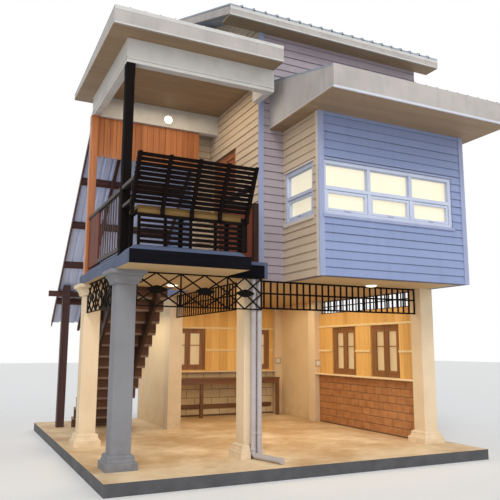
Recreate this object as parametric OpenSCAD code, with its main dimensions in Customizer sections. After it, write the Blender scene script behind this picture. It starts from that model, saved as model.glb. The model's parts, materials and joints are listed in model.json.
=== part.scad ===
// House on concrete columns: an open ground storey with a stair, a balcony with a built-in
// bench, and a boarded upper room with a projecting window box.
// Plan origin: front-left column corner line, x to the right, y to the back, z up from the ground.
// Every piece is then centred on the middle of the roof's plan.

/* [Plan] */
// Width of a square column
column_w = 260; // [200:10:320]
// Front line to front line: balcony column to middle column
balcony_span = 1850; // [1600:10:2200]
// Left face of the middle columns to the right face of the right columns
room_span = 3500; // [3200:10:4200]
// How far the front balcony column stands in front of the column line
column_step = 120; // [110:10:200]
// Front column line to the front face of the rear balcony column
balcony_depth = 1980; // [1700:10:2300]
// Front column line to the front face of the third row of columns
mid_row_y = 3320; // [3200:20:3500]
// Front column line to the outer face of the back wall
house_depth = 5360; // [5200:20:5600]
// Ground slab beyond the column line, in front
slab_front = 800; // [300:10:1000]
// Ground slab beyond the columns, each side
slab_side = 250; // [100:10:280]
// Ground slab beyond the back wall
slab_back = 100; // [50:10:250]

/* [Levels] */
// Thickness of the ground slab
slab_t = 150; // [100:10:250]
// Clear height of the ground storey
ground_h = 2500; // [2300:10:2800]
// Thickness of the upper floor
floor_t = 240; // [180:10:300]
// Upper floor to the ceiling of the window box
box_h = 2160; // [2000:10:2400]
// Upper floor to the eaves of the main roof
room_h = 3760; // [3300:10:4000]
// Upper floor to the balcony ceiling
deck_h = 2910; // [2700:10:3100]

/* [Columns] */
// Left face of the balcony columns
balcony_column_x = -25; // [-60:5:0]
// Reach of the lower plinth step
plinth_out = 75; // [30:5:90]
// Height of each plinth step
plinth_h = 95; // [60:5:110]
// Reach of the widest capital step
capital_out = 110; // [80:5:140]
// Height of each capital step
capital_h = 60; // [40:5:80]

/* [Ground storey walls] */
// Thickness of the ground storey walls
wall_t = 150; // [110:10:180]
// Thickness of the plastered walls at the rear corners
rear_wall_t = 80; // [60:5:120]
// Left plastered wall in from the column's left face
rear_wall_in = 30; // [10:5:50]
// Height of the masonry under the sill shelf
low_wall_h = 960; // [800:5:1100]
// Thickness of the boarded wall above the masonry
board_wall_t = 90; // [60:5:110]
// Thickness of the sill shelf
shelf_t = 35; // [20:5:60]
// Reach of the sill shelf into the room
shelf_reach = 110; // [60:10:200]
// Height of the counter top
counter_h = 845; // [700:10:950]
// Thickness of the counter top
counter_t = 60; // [30:5:90]
// Depth of the counter
counter_d = 420; // [300:10:550]
// Width of a ground storey window
ground_window_w = 820; // [600:10:1000]
// Height of a back window
back_window_h = 930; // [800:10:960]
// Back windows above the sill shelf
back_window_lift = 25; // [0:5:60]
// First back window past the middle column
back_window_left = 420; // [100:10:600]
// Last back window before the right column
back_window_right = 90; // [50:10:500]
// Height of a window in the right-hand ground storey wall
side_casement_h = 940; // [800:10:980]
// Width of a ground storey window bar
casement_bar = 55; // [35:5:80]
// Depth of a ground storey window frame
casement_d = 60; // [40:5:80]

/* [Screens under the floor] */
// Height of the diamond lattices
lattice_h = 460; // [300:10:600]
// Front lattice past the left face of the middle column
lattice_past = 232; // [180:4:240]
// Width of a long bay of the front lattice
long_bay = 690; // [600:10:750]
// Width of its short bay at the right
short_bay = 530; // [450:10:600]
// Height of the barred friezes
frieze_h = 425; // [300:10:550]
// Height of the frieze over the side wall
side_frieze_h = 270; // [200:10:400]
// Width of a steel bar
bar_w = 18; // [12:1:30]
// Spacing of the upright bars
bar_pitch = 112; // [80:1:160]
// Length of a flat diamond ornament
ornament_l = 190; // [120:10:260]
// Height of a flat diamond ornament
ornament_h = 90; // [50:5:130]

/* [Stair] */
// Number of risers from the slab to the balcony
riser_count = 14; // [13:1:16]
// Going of one tread
going = 200; // [190:1:210]
// Width of the flight
stair_w = 1065; // [950:5:1100]
// Gap between the column face and the treads
stair_gap = 60; // [50:5:80]
// Gap between the treads and the right edge of the stair notch
notch_gap = 80; // [40:5:120]
// Depth of the stair notch in the rear edge of the balcony
notch_d = 390; // [350:10:450]
// Thickness of a tread
tread_t = 40; // [30:1:60]
// Tread nosing in front of its riser
nosing = 25; // [10:1:40]
// Thickness of a riser board
riser_t = 20; // [12:1:30]
// Width of a stair string
string_w = 50; // [40:5:80]
// Depth of a stair string under the tread corners
string_d = 200; // [150:5:260]
// String set in from the column end of the treads
string_inset_left = 70; // [60:5:120]
// String set in from the free end of the treads
string_inset_right = 210; // [100:5:300]
// String run on under the balcony floor
string_seat = 100; // [50:10:150]

/* [Balcony] */
// How far the bench bay projects in front of the balcony edge
bay_out = 800; // [600:10:1000]
// Balcony floor beyond the columns on the left
deck_side = 70; // [20:5:120]
// Width of the bench bay
bay_w = 1590; // [1300:10:1750]
// Slope set in at the top edge of the balcony floor
ledge = 95; // [50:5:120]
// Height of the dark edge boards
edge_board_h = 190; // [120:5:220]
// Thickness of the dark edge boards
edge_board_t = 18; // [12:1:30]
// Width of a dark balcony post
post_w = 120; // [90:5:150]
// Post at the stairhead set out to the left of the front post
stairhead_out = 30; // [0:5:40]
// Height of the handrail
rail_h = 850; // [750:10:1100]
// Width of the handrail
rail_w = 60; // [40:5:80]
// Width of a baluster
baluster_w = 20; // [12:1:30]
// Spacing of the balusters
baluster_pitch = 105; // [80:1:140]
// Handrail past the seat's front edge
rail_reach = 170; // [60:10:175]
// Start of the rail beside the bench, behind the handrail's end
low_rail_start = 150; // [100:10:250]
// Rail beside the bench above the seat's underside
low_rail_up = 90; // [60:5:150]
// Height of the rail beside the bench
low_rail_h = 40; // [30:5:60]
// Length of the closed guard beside the stair
guard_l = 1070; // [800:10:1200]
// Thickness of the closed guards
guard_t = 30; // [20:1:40]
// Height of the beams round the balcony's top
header_h = 350; // [250:10:500]
// Thickness of those beams
header_t = 120; // [90:5:150]
// Length of a valance board
valance_h = 690; // [400:10:800]
// Width of a valance board
valance_w = 82; // [60:1:110]
// Thickness of the valance
valance_t = 20; // [12:1:30]

/* [Bench] */
// Height of the seat's underside
seat_h = 455; // [430:5:480]
// Thickness of the seat
seat_t = 40; // [25:1:60]
// Front board of the seat below its underside
seat_apron_h = 60; // [40:5:70]
// Thickness of that front board
seat_apron_t = 25; // [18:1:35]
// Depth of the seat
seat_d = 430; // [350:10:500]
// Height of the backrest above the seat's underside
back_h = 605; // [550:5:620]
// Outward lean of the backrest over its height
back_lean = 300; // [150:10:350]
// Number of backrest slats
back_slats = 11; // [8:1:12]
// Width of a slat
slat_w = 38; // [30:1:42]
// Thickness of a slat
slat_t = 18; // [12:1:22]
// Lowest backrest slat over the seat's underside
back_start = 45; // [42:1:60]
// Lowest skirt slat over the balcony floor
skirt_lift = 40; // [20:5:60]
// Number of slats in the skirt under the seat
skirt_slats = 5; // [4:1:6]
// Width of a bench post
bench_post_w = 45; // [35:1:60]
// Number of bench posts
bench_posts = 5; // [4:1:6]
// Bench post below the seat's underside
post_tail = 85; // [75:5:120]

/* [Upper room] */
// Thickness of the boarded walls
siding_t = 100; // [80:5:120]
// Width of the wall strip between the balcony and the window box
strip_w = 430; // [300:10:600]
// Set back of the room's front wall from the column line
room_set_back = 230; // [200:10:260]
// How far the window box projects in front of the room's front wall
box_out = 1040; // [800:10:1200]
// Gap between the middle column's left face and the balcony-side wall
deck_wall_gap = 350; // [300:10:450]
// Sill of the box windows above the upper floor
sill_h = 640; // [500:10:900]
// Height of the box windows
window_h = 800; // [600:10:1000]
// Sill to the middle of the transom over the lower lights
lower_light_h = 390; // [250:10:500]
// Width of one of the three front lights
light_w = 800; // [600:10:850]
// Window box corner to its front windows
ribbon_gap = 60; // [20:5:150]
// Width of a box side window
side_window_w = 820; // [600:10:850]
// Width of a room window
room_window_w = 1100; // [800:10:1300]
// Width of a white window bar
frame_bar = 55; // [30:5:70]
// Width of a sash bar in the lower lights
sash_bar = 40; // [25:5:60]
// Depth of a white window frame
frame_d = 60; // [40:5:80]
// Thickness of the glass
glass_t = 8; // [5:1:12]
// Width of the balcony door
door_w = 1000; // [800:10:1100]
// Height of the balcony door
door_h = 2100; // [2000:10:2200]
// Thickness of the balcony door
door_t = 45; // [35:1:60]

/* [Roofs] */
// Pitch of the main roof, degrees
main_pitch = 22; // [12:1:30]
// Pitch of the window box roof, degrees
box_pitch = 15; // [8:1:20]
// Fall of the balcony roof, degrees
deck_pitch = 3; // [2:1:3]
// Overhang of the main roof at front and back
main_over = 300; // [200:10:500]
// Overhang of the main roof at the gables
gable_over = 300; // [290:10:500]
// Overhang of the window box roof in front
box_over = 750; // [500:10:900]
// Overhang of the window box roof at the sides
box_side_over = 250; // [150:10:280]
// Overhang of the balcony roof in front
deck_over = 280; // [200:10:400]
// Overhang of the balcony roof at the left
deck_side_over = 300; // [290:10:400]
// Height of an eaves board of the window box roof
fascia_h = 300; // [200:10:350]
// Height of an eaves board of the main roof
main_fascia_h = 150; // [100:10:220]
// Height of the front board of the balcony roof
deck_fascia_h = 220; // [190:10:260]
// Thickness of an eaves board
fascia_t = 25; // [18:1:40]
// Thickness of the roof sheets
roof_t = 30; // [30:5:80]
// Width of a roof rib
rib_w = 40; // [30:2:60]
// Height of a roof rib over the sheet
rib_h = 24; // [15:1:30]
// Distance between the main roof ribs
rib_pitch = 400; // [300:20:500]
// Thickness of the soffit boards
soffit_t = 20; // [12:1:30]

/* [Stair canopy] */
// Left edge of the canopy
canopy_left = -30; // [-40:5:0]
// Slope of the canopy, degrees
canopy_pitch = 43; // [42:0.5:44]
// Length of the canopy in plan
canopy_run = 3330; // [3000:10:3360]
// Height of the canopy's top edge above the upper floor
canopy_top = 2380; // [2300:10:2450]
// Thickness of the canopy sheet
canopy_t = 20; // [12:1:30]
// Depth of a purlin
purlin_d = 60; // [40:5:90]
// Width of a purlin
purlin_w = 50; // [40:5:70]
// First purlin from the canopy's top edge
purlin_start = 20; // [10:5:60]
// Thickness of the barge board
barge_t = 20; // [15:5:30]
// Spacing of the purlins in plan
purlin_pitch = 700; // [600:20:760]
// Depth of a canopy rafter
rafter_d = 60; // [40:5:90]
// Width of a canopy rafter
rafter_w = 50; // [40:5:70]
// Left face of the middle rafter
middle_rafter_x = 480; // [400:10:600]
// Width of a timber canopy post
canopy_post_w = 140; // [100:10:160]
// Canopy post in from the canopy's left edge
canopy_post_in = 60; // [30:10:90]
// Canopy post before the canopy's foot
canopy_post_back = 840; // [800:10:880]
// Canopy cross beam past the canopy's left edge
canopy_beam_out = 190; // [100:10:220]
// Height of the canopy cross beam
canopy_beam_h = 110; // [80:5:140]
// Thickness of the canopy cross beam
canopy_beam_t = 60; // [40:5:80]

/* [Services] */
// Height of the pipe collars above the slab
pipe_collar_z = 320; // [250:10:500]
// Diameter of a rain pipe
pipe_d = 76; // [60:1:90]
// Length of the pipe along the floor
pipe_run = 560; // [300:10:600]
// Turn of the floor pipe towards the front edge, degrees
pipe_turn = 50; // [30:5:70]
// Diameter of a ceiling light
light_d = 200; // [120:10:300]
// Height of a ceiling light
light_h = 35; // [20:5:60]
// Light under the balcony, from the left plan line
deck_light_x = 1200; // [400:10:1500]
// Light under the balcony, from the front column line
deck_light_y = 1300; // [400:10:1700]
// Light over the room's front line, past the middle column's left face
room_light_x = 2160; // [600:10:3000]
// Light on the rear beam of the balcony, past the stairhead
beam_light_x = 1160; // [300:10:1500]
// Light on the rear beam above the beam's lower edge
beam_light_z = 130; // [100:5:200]

/* [Hidden] */
$fn = 48;
soffit_z = slab_t + ground_h;
deck_z = soffit_z + floor_t;
box_top_z = deck_z + box_h;
room_top_z = deck_z + room_h;
deck_top_z = deck_z + deck_h;
header_z = deck_top_z - header_h;
rail_z = deck_z + rail_h;

mid_x = balcony_span;
house_x = mid_x + room_span;
right_x = house_x - column_w;
back_y = house_depth - column_w;
mid_edge_x = mid_x + column_w;
wall_in_y = house_depth - wall_t;
wall_in_x = house_x - wall_t;

deck_edge_y = -50;
bay_y = deck_edge_y - bay_out;
bay_x0 = -deck_side;
bay_x1 = bay_x0 + bay_w;
deck_back_y = balcony_depth + column_w;
well_x0 = balcony_column_x + column_w;
tread_x = well_x0 + stair_gap;
well_x1 = tread_x + stair_w + notch_gap;
rise = (deck_z - slab_t) / riser_count;
well_y0 = deck_back_y - notch_d;
stair_foot_y = well_y0 + (riser_count - 1) * going;

deck_wall_x = mid_x + deck_wall_gap;
box_x0 = deck_wall_x + strip_w;
front_wall_y = room_set_back;
box_y = front_wall_y - box_out;
box_in_x0 = box_x0 + siding_t;
box_in_x1 = house_x - siding_t;

post_x = -40;
stairhead_x = post_x - stairhead_out;
header_y = -column_step - 140;
bench_y = bay_y + ledge - 15;
skirt_t = slat_t;
seat_z = deck_z + seat_h;

plan_x0 = -deck_side_over;
plan_x1 = house_x + gable_over;
plan_y0 = box_y - box_over - fascia_t;
plan_y1 = house_depth + main_over;
centre_x = (plan_x0 + plan_x1) / 2;
centre_y = (plan_y0 + plan_y1) / 2;

main_mid_y = (front_wall_y + house_depth) / 2;
main_base_z = room_top_z + main_fascia_h;
canopy_y0 = balcony_depth;
canopy_x0 = canopy_left;

concrete_grey = [0.62, 0.61, 0.58];
column_paint = [0.72, 0.71, 0.68];
plaster_paint = [0.90, 0.86, 0.76];
board_timber = [0.74, 0.52, 0.26];
dark_timber = [0.16, 0.09, 0.06];
brown_timber = [0.33, 0.17, 0.09];
orange_timber = [0.72, 0.33, 0.12];
red_timber = [0.42, 0.16, 0.09];
dark_steel = [0.07, 0.06, 0.06];
siding_paint = [0.80, 0.81, 0.84];
window_white = [0.90, 0.90, 0.90];
warm_glass = [0.98, 0.88, 0.62, 0.5];
ledge_paint = [0.52, 0.57, 0.64];
edge_paint = [0.10, 0.11, 0.14];
sheet_paint = [0.55, 0.60, 0.66];
soffit_paint = [0.50, 0.42, 0.30];
pipe_white = [0.92, 0.92, 0.90];
lamp_white = [1.0, 0.95, 0.82];

// Moves a piece from the plan origin to the middle of the roof's plan.
module placed() {
    translate([-centre_x, -centre_y, 0]) children();
}

// Box from its low corner to its high corner.
module block(low, high) {
    translate(low) cube([high[0] - low[0], high[1] - low[1], high[2] - low[2]]);
}

// Outline in the YZ plane, carried along X from x0 over a length.
module along_x(x0, length) {
    translate([x0, 0, 0]) rotate([90, 0, 90]) linear_extrude(length) children();
}

// Outline in the XZ plane, carried along Y from y0 over a length.
module along_y(y0, length) {
    translate([0, y0 + length, 0]) rotate([90, 0, 0]) linear_extrude(length) children();
}

// Height of the underside of the main roof over a place y.
function main_roof_z(y) = main_base_z
    + (main_mid_y - front_wall_y + main_over - abs(y - main_mid_y)) * tan(main_pitch);

// Ground slab with its upright edge.
module ground_slab() {
    color(concrete_grey) placed()
        block([-slab_side, -slab_front, 0], [house_x + slab_side, house_depth + slab_back, slab_t]);
}

// Square column on a two-step plinth, standing at its low corner.
module column(x, y, top_z, plinth = true, capital = false) {
    block([x, y, slab_t], [x + column_w, y + column_w, top_z]);
    if (plinth)
        for (i = [0, 1]) {
            out = plinth_out * (1 - i / 2);
            block([x - out, y - out, slab_t + i * plinth_h],
                [x + column_w + out, y + column_w + out, slab_t + (i + 1) * plinth_h]);
        }
    if (capital)
        for (i = [0:2]) {
            out = capital_out * (3 - i) / 3;
            block([x - out, y - out, top_z - (i + 1) * capital_h],
                [x + column_w + out, y + column_w + out, top_z - i * capital_h]);
        }
}

// The two columns under the left edge of the balcony.
module balcony_column_pair() {
    column(balcony_column_x, -column_step, soffit_z, capital = true);
    column(balcony_column_x, balcony_depth, soffit_z, capital = true);
}

module balcony_columns() {
    color(column_paint) placed() balcony_column_pair();
}

// Rain pipes stand against the middle column, whose plinth is notched for them.
pipe_collar = 12;
pipe_step = pipe_d + pipe_collar + 4;
pipe_x = mid_edge_x - pipe_step - pipe_d / 2 - 6;
pipe_y = -pipe_d / 2 - 8;

module front_columns() {
    notch_x = pipe_x - (pipe_d + pipe_collar) / 2 - 3;
    notch_z = slab_t + 2 * plinth_h;
    color(column_paint) placed() {
        difference() {
            column(mid_x, 0, soffit_z);
            block([notch_x, -plinth_out - 1, slab_t], [mid_edge_x + plinth_out + 1, 0, notch_z]);
        }
        column(right_x, 0, soffit_z);
    }
}

module rear_columns() {
    color(column_paint) placed() {
        column(mid_x, mid_row_y, soffit_z, plinth = false);
        column(right_x, mid_row_y, soffit_z, plinth = false);
        column(mid_x, back_y, soffit_z, plinth = false);
        column(right_x, back_y, soffit_z, plinth = false);
    }
}

// Masonry under the sill shelf, at the back and on the right.
module low_walls() {
    color(plaster_paint) placed() {
        block([mid_edge_x, wall_in_y, slab_t], [right_x, house_depth, slab_t + low_wall_h]);
        block([wall_in_x, column_w, slab_t], [house_x, mid_row_y, slab_t + low_wall_h]);
    }
}

// Left edges of the two back windows.
back_windows = [mid_edge_x + back_window_left, right_x - back_window_right - ground_window_w];
// Front edges of the two side windows.
side_gap = (mid_row_y - column_w - 2 * ground_window_w) / 3;
side_windows = [for (i = [0, 1]) column_w + side_gap + i * (ground_window_w + side_gap)];
board_z = slab_t + low_wall_h + shelf_t;
back_window_z = board_z + back_window_lift;

module board_walls() {
    color(board_timber) placed() {
        difference() {
            block([mid_edge_x, house_depth - wall_t / 2 - board_wall_t / 2, board_z],
                [right_x, house_depth - wall_t / 2 + board_wall_t / 2, soffit_z]);
            for (x = back_windows)
                block([x, house_depth - wall_t - 1, back_window_z],
                    [x + ground_window_w, house_depth + 1, back_window_z + back_window_h]);
        }
        difference() {
            block([house_x - wall_t / 2 - board_wall_t / 2, column_w, board_z],
                [house_x - wall_t / 2 + board_wall_t / 2, mid_row_y, soffit_z - side_frieze_h]);
            for (y = side_windows)
                block([house_x - wall_t - 1, y, board_z],
                    [house_x + 1, y + ground_window_w, board_z + side_casement_h]);
        }
    }
}

// Plastered walls at the rear corners.
module plaster_walls() {
    color(plaster_paint) placed() {
        for (x = [mid_x + rear_wall_in, house_x - rear_wall_t])
            block([x, mid_row_y + column_w, slab_t], [x + rear_wall_t, back_y, soffit_z]);
    }
}

// Window frame in the XZ plane with its low corner at the origin, depth d along Y.
// The lowest row of lights has sashes of the given width inside the frame.
module window_frame(w, h, d, bar, columns, row_z = [], sash = 0) {
    pane_w = (w - (columns + 1) * bar) / columns;
    levels = concat([bar], [for (z = row_z) z + bar / 2]);
    tops = concat([for (z = row_z) z - bar / 2], [h - bar]);
    along_y(0, d) difference() {
        square([w, h]);
        for (c = [0:columns - 1], r = [0:len(levels) - 1]) {
            in = r == 0 ? sash : 0;
            translate([bar + c * (pane_w + bar) + in, levels[r] + in])
                square([pane_w - 2 * in, tops[r] - levels[r] - 2 * in]);
        }
    }
}

// Glass sheet behind such a frame.
module window_sheet(w, h, d, bar) {
    block([bar / 2, d, bar / 2], [w - bar / 2, d + glass_t, h - bar / 2]);
}

module at_back_windows() {
    for (x = back_windows)
        translate([x, house_depth - wall_t / 2 - casement_d / 2, back_window_z]) children();
}

module at_side_windows() {
    for (y = side_windows)
        translate([house_x - wall_t / 2 - casement_d / 2, y + ground_window_w, board_z])
            rotate([0, 0, -90]) children();
}

module ground_casement(h) {
    window_frame(ground_window_w, h, casement_d, casement_bar, 2);
}

module ground_window_frames() {
    color(brown_timber) placed() {
        at_back_windows() ground_casement(back_window_h);
        at_side_windows() ground_casement(side_casement_h);
    }
}

module ground_pane(h) {
    window_sheet(ground_window_w, h, casement_d, casement_bar);
}

module ground_window_glass() {
    color(warm_glass) placed() {
        at_back_windows() ground_pane(back_window_h);
        at_side_windows() ground_pane(side_casement_h);
    }
}

module sill_shelf() {
    color(plaster_paint) placed() {
        block([mid_edge_x, wall_in_y - shelf_reach, board_z - shelf_t],
            [right_x, house_depth, board_z]);
        block([wall_in_x - shelf_reach, column_w, board_z - shelf_t],
            [house_x, mid_row_y, board_z]);
    }
}

// Counter top along the back wall, on legs.
module wall_counter() {
    top = slab_t + counter_h;
    leg = 70;
    x0 = mid_edge_x + 40;
    x1 = right_x - 40;
    y0 = wall_in_y - counter_d;
    color(brown_timber) placed() {
        block([x0, y0, top - counter_t], [x1, wall_in_y, top]);
        for (i = [0:3]) {
            x = x0 + i * (x1 - x0 - leg) / 3;
            block([x, y0 + 30, slab_t], [x + leg, y0 + 30 + leg, top - counter_t]);
        }
    }
}

// Flat bar between two points of an outline, with square ends.
module flat_bar(a, b) {
    d = b - a;
    translate(a) rotate([0, 0, atan2(d[1], d[0])]) translate([0, -bar_w / 2]) square([norm(d), bar_w]);
}

// One lattice bay: crossing diagonals, a diamond and a flat ornament at the centre.
module lattice_bay(w, h) {
    m = bar_w / 2;
    flat_bar([m, m], [w - m, h - m]);
    flat_bar([m, h - m], [w - m, m]);
    flat_bar([w / 2, m], [w - m, h / 2]);
    flat_bar([w - m, h / 2], [w / 2, h - m]);
    flat_bar([w / 2, h - m], [m, h / 2]);
    flat_bar([m, h / 2], [w / 2, m]);
    translate([w / 2, h / 2]) polygon([
        [-ornament_l / 2, 0], [0, -ornament_h / 2], [ornament_l / 2, 0], [0, ornament_h / 2]
    ]);
}

// Diamond lattice outline of a length, with upright bars at the given edges of its bays.
module lattice(length, h, edges) {
    difference() {
        square([length, h]);
        translate([bar_w, bar_w]) square([length - 2 * bar_w, h - 2 * bar_w]);
    }
    intersection() {
        square([length, h]);
        for (i = [0:len(edges) - 2]) translate([edges[i], 0]) {
            square([bar_w, h]);
            lattice_bay(edges[i + 1] - edges[i] + bar_w, h);
        }
    }
}

lattice_y = -column_step + 15;

module front_lattice() {
    length = mid_x + lattice_past - well_x0;
    short = length - bar_w - short_bay;
    edges = [short - 2 * long_bay, short - long_bay, short, length - bar_w];
    color(dark_steel) placed() difference() {
        along_y(lattice_y, bar_w) translate([well_x0, soffit_z - lattice_h])
            lattice(length, lattice_h, edges);
        balcony_column_pair();
    }
}

module side_lattice() {
    y0 = -column_step + column_w;
    length = balcony_depth - y0;
    pitch = (length - bar_w) / 3;
    color(dark_steel) placed() difference() {
        along_x(15, bar_w) translate([y0, soffit_z - lattice_h])
            lattice(length, lattice_h, [for (i = [0:3]) i * pitch]);
        balcony_column_pair();
    }
}

// Barred frieze outline with top, middle and bottom rails.
module bar_frieze(length, h) {
    count = round((length - bar_w) / bar_pitch);
    pitch = (length - bar_w) / count;
    for (z = [0, (h - bar_w) * 0.55, h - bar_w]) translate([0, z]) square([length, bar_w]);
    for (i = [0:count]) translate([i * pitch, 0]) square([bar_w, h]);
}

module front_bar_frieze() {
    color(dark_steel) placed()
        along_y(column_w / 2, bar_w) translate([mid_edge_x, soffit_z - frieze_h])
            bar_frieze(right_x - mid_edge_x, frieze_h);
}

module inner_bar_frieze() {
    color(dark_steel) placed()
        along_x(mid_x + column_w / 2, bar_w) translate([column_w, soffit_z - frieze_h])
            bar_frieze(mid_row_y - column_w, frieze_h);
}

module side_bar_frieze() {
    color(dark_steel) placed()
        along_x(house_x - wall_t / 2, bar_w) translate([column_w, soffit_z - side_frieze_h])
            bar_frieze(mid_row_y - column_w, side_frieze_h);
}

// Front edge of tread i, counted from 1 at the foot.
function tread_y(i) = stair_foot_y - (i - 1) * going;
function tread_z(i) = slab_t + i * rise;

string_x = [tread_x + string_inset_left, tread_x + stair_w - string_inset_right - string_w];

// Saw-tooth string outline in the YZ plane, with a seat under the balcony floor.
module string_outline() {
    under = tread_t;
    teeth = [for (i = [1:riser_count - 1], k = [0, 1])
        [max(tread_y(i + k) - nosing, well_y0), tread_z(i) - under]];
    foot_y = tread_y(1) - nosing;
    slope = rise / going;
    drop = string_d / cos(atan(slope));
    seat_y = well_y0 - string_seat;
    polygon(concat(
        [[foot_y, slab_t]], teeth,
        [[well_y0, soffit_z], [seat_y, soffit_z],
         [seat_y, tread_z(riser_count - 1) - under - drop + string_seat * slope],
         [foot_y - (drop - rise + under) / slope, slab_t]]
    ));
}

module stair_strings() {
    color(brown_timber) placed()
        for (x = string_x) along_x(x, string_w) string_outline();
}

module stair_treads() {
    color(brown_timber) placed()
        for (i = [1:riser_count - 1])
            block([tread_x, max(tread_y(i + 1) - nosing, well_y0), tread_z(i) - tread_t],
                [tread_x + stair_w, tread_y(i), tread_z(i)]);
}

module stair_risers() {
    x0 = string_x[0] + string_w;
    x1 = string_x[1];
    color(dark_timber) placed()
        for (i = [1:riser_count - 1])
            block([x0, tread_y(i) - nosing - riser_t, tread_z(i - 1)],
                [x1, tread_y(i) - nosing, tread_z(i) - tread_t]);
}

// Two rain pipes beside the middle column; the right one turns out along the floor.
module downpipes() {
    bend = pipe_d * 0.8;
    lap = 6;
    collar_d = pipe_d + pipe_collar;
    collar_h = 40;
    color(pipe_white) placed() {
        translate([pipe_x, pipe_y, slab_t]) {
            cylinder(d = pipe_d, h = soffit_z - slab_t);
            translate([0, 0, pipe_collar_z]) cylinder(d = collar_d, h = collar_h);
        }
        translate([pipe_x + pipe_step, pipe_y, slab_t + collar_d / 2]) union() {
            translate([0, 0, bend]) cylinder(d = pipe_d, h = soffit_z - slab_t - collar_d / 2 - bend);
            translate([0, 0, bend - lap]) cylinder(d = collar_d, h = collar_h);
            translate([0, 0, pipe_collar_z - collar_d / 2]) cylinder(d = collar_d, h = collar_h);
            rotate([0, 0, -pipe_turn]) {
                translate([bend, 0, bend]) rotate([90, 0, 0]) rotate([0, 0, 180])
                    rotate_extrude(angle = 90) translate([bend, 0]) circle(d = pipe_d);
                translate([bend, 0, 0]) rotate([0, 90, 0]) cylinder(d = pipe_d, h = pipe_run);
                translate([bend - lap, 0, 0]) rotate([0, 90, 0]) cylinder(d = collar_d, h = collar_h);
            }
        }
    }
}

// Balcony bay with a sloped ledge on three sides.
module bay_floor() {
    z0 = soffit_z;
    z1 = deck_z - ledge - 5;
    z2 = deck_z;
    intersection() {
        along_x(bay_x0, bay_w) polygon([
            [bay_y, z0], [deck_edge_y, z0], [deck_edge_y, z2], [bay_y + ledge, z2], [bay_y, z1]
        ]);
        along_y(bay_y, deck_edge_y - bay_y) polygon([
            [bay_x0, z0], [bay_x1, z0], [bay_x1, z1], [bay_x1 - ledge, z2], [bay_x0 + ledge, z2],
            [bay_x0, z1]
        ]);
    }
}

// Balcony floor behind the bay, ledge on the left only, with the stair opening cut out.
module deck_floor() {
    z1 = deck_z - ledge - 5;
    difference() {
        along_y(deck_edge_y, deck_back_y - deck_edge_y) polygon([
            [bay_x0, soffit_z], [deck_wall_x, soffit_z], [deck_wall_x, deck_z],
            [bay_x0 + ledge, deck_z], [bay_x0, z1]
        ]);
        block([well_x0, well_y0, soffit_z - 1], [well_x1, deck_back_y + 1, deck_z + 1]);
    }
}

module upper_floor() {
    color(ledge_paint) placed() {
        union() {
            bay_floor();
            deck_floor();
            along_z(soffit_z, floor_t) polygon([
                [deck_wall_x, deck_edge_y], [deck_wall_x, front_wall_y + siding_t],
                [box_in_x0, front_wall_y + siding_t], [box_in_x0, box_y + siding_t],
                [box_in_x1, box_y + siding_t], [box_in_x1, front_wall_y + siding_t],
                [house_x, front_wall_y + siding_t], [house_x, house_depth],
                [mid_x, house_depth], [mid_x, deck_back_y], [mid_x, deck_edge_y]
            ]);
        }
    }
}

// Outline in plan, raised from z0 over a height.
module along_z(z0, height) {
    translate([0, 0, z0]) linear_extrude(height) children();
}

// Dark boards on the upright edges of the bay and of the balcony.
module deck_edge_boards() {
    bay_h = floor_t - ledge - 5;
    color(edge_paint) placed() {
        block([bay_x0, bay_y - edge_board_t, soffit_z], [bay_x1, bay_y, soffit_z + bay_h]);
        block([bay_x1, bay_y - edge_board_t, soffit_z],
            [bay_x1 + edge_board_t, deck_edge_y, soffit_z + bay_h]);
        block([bay_x1, deck_edge_y - edge_board_t, soffit_z],
            [deck_wall_x - 60, deck_edge_y, soffit_z + edge_board_h]);
    }
}

// Post on the balcony floor up to the beams, cut to the slope of the ledge.
module balcony_post(x, y) {
    difference() {
        block([x, y, deck_z - ledge], [x + post_w, y + post_w, header_z]);
        bay_floor();
        deck_floor();
    }
}

module deck_posts() {
    color(dark_timber) placed() balcony_post(post_x, header_y);
}

// Closed ring of beams that carries the balcony roof.
module deck_header() {
    x0 = post_x;
    y1 = balcony_depth;
    color(siding_paint) placed()
        along_z(header_z, header_h) difference() {
            translate([x0, header_y]) square([deck_wall_x - x0, y1 - header_y]);
            translate([x0 + header_t, header_y + header_t])
                square([deck_wall_x - x0 - 2 * header_t, y1 - header_y - 2 * header_t]);
            translate([deck_wall_x - header_t - 1, front_wall_y])
                square([header_t + 2, y1 - front_wall_y - header_t]);
        }
}

// Left railing: handrail, a rail beside the bench, balusters and their bottom rail.
module side_railing() {
    x0 = -rail_w / 2 - 10;
    xm = x0 + rail_w / 2;
    y_bench = bench_y - rail_reach;
    y_post = header_y;
    y_rail = header_y + post_w;
    y_guard = balcony_depth - header_t - guard_l;
    y_end = balcony_depth - header_t;
    count = floor((y_guard - y_rail) / baluster_pitch);
    color(dark_timber) placed() {
        block([x0, y_bench, rail_z - rail_w], [x0 + rail_w, y_post, rail_z]);
        block([x0, y_rail, rail_z - rail_w], [x0 + rail_w, y_end, rail_z]);
        block([xm - baluster_w, y_bench + low_rail_start, seat_z + low_rail_up],
            [xm + baluster_w, y_post, seat_z + low_rail_up + low_rail_h]);
        block([xm - 20, y_rail, deck_z], [xm + 20, y_guard, deck_z + 60]);
        for (i = [0:count - 1]) {
            y = y_guard - (i + 1) * baluster_pitch + 30;
            block([xm - baluster_w / 2, y, deck_z + 60],
                [xm + baluster_w / 2, y + baluster_w, rail_z - rail_w]);
        }
    }
}

// Closed timber guard beside the stair opening.
module stair_guard() {
    x0 = -10 - guard_t / 2;
    y1 = balcony_depth - header_t;
    color(red_timber) placed()
        block([x0, y1 - guard_l, deck_z], [x0 + guard_t, y1, rail_z - rail_w]);
}

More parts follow.
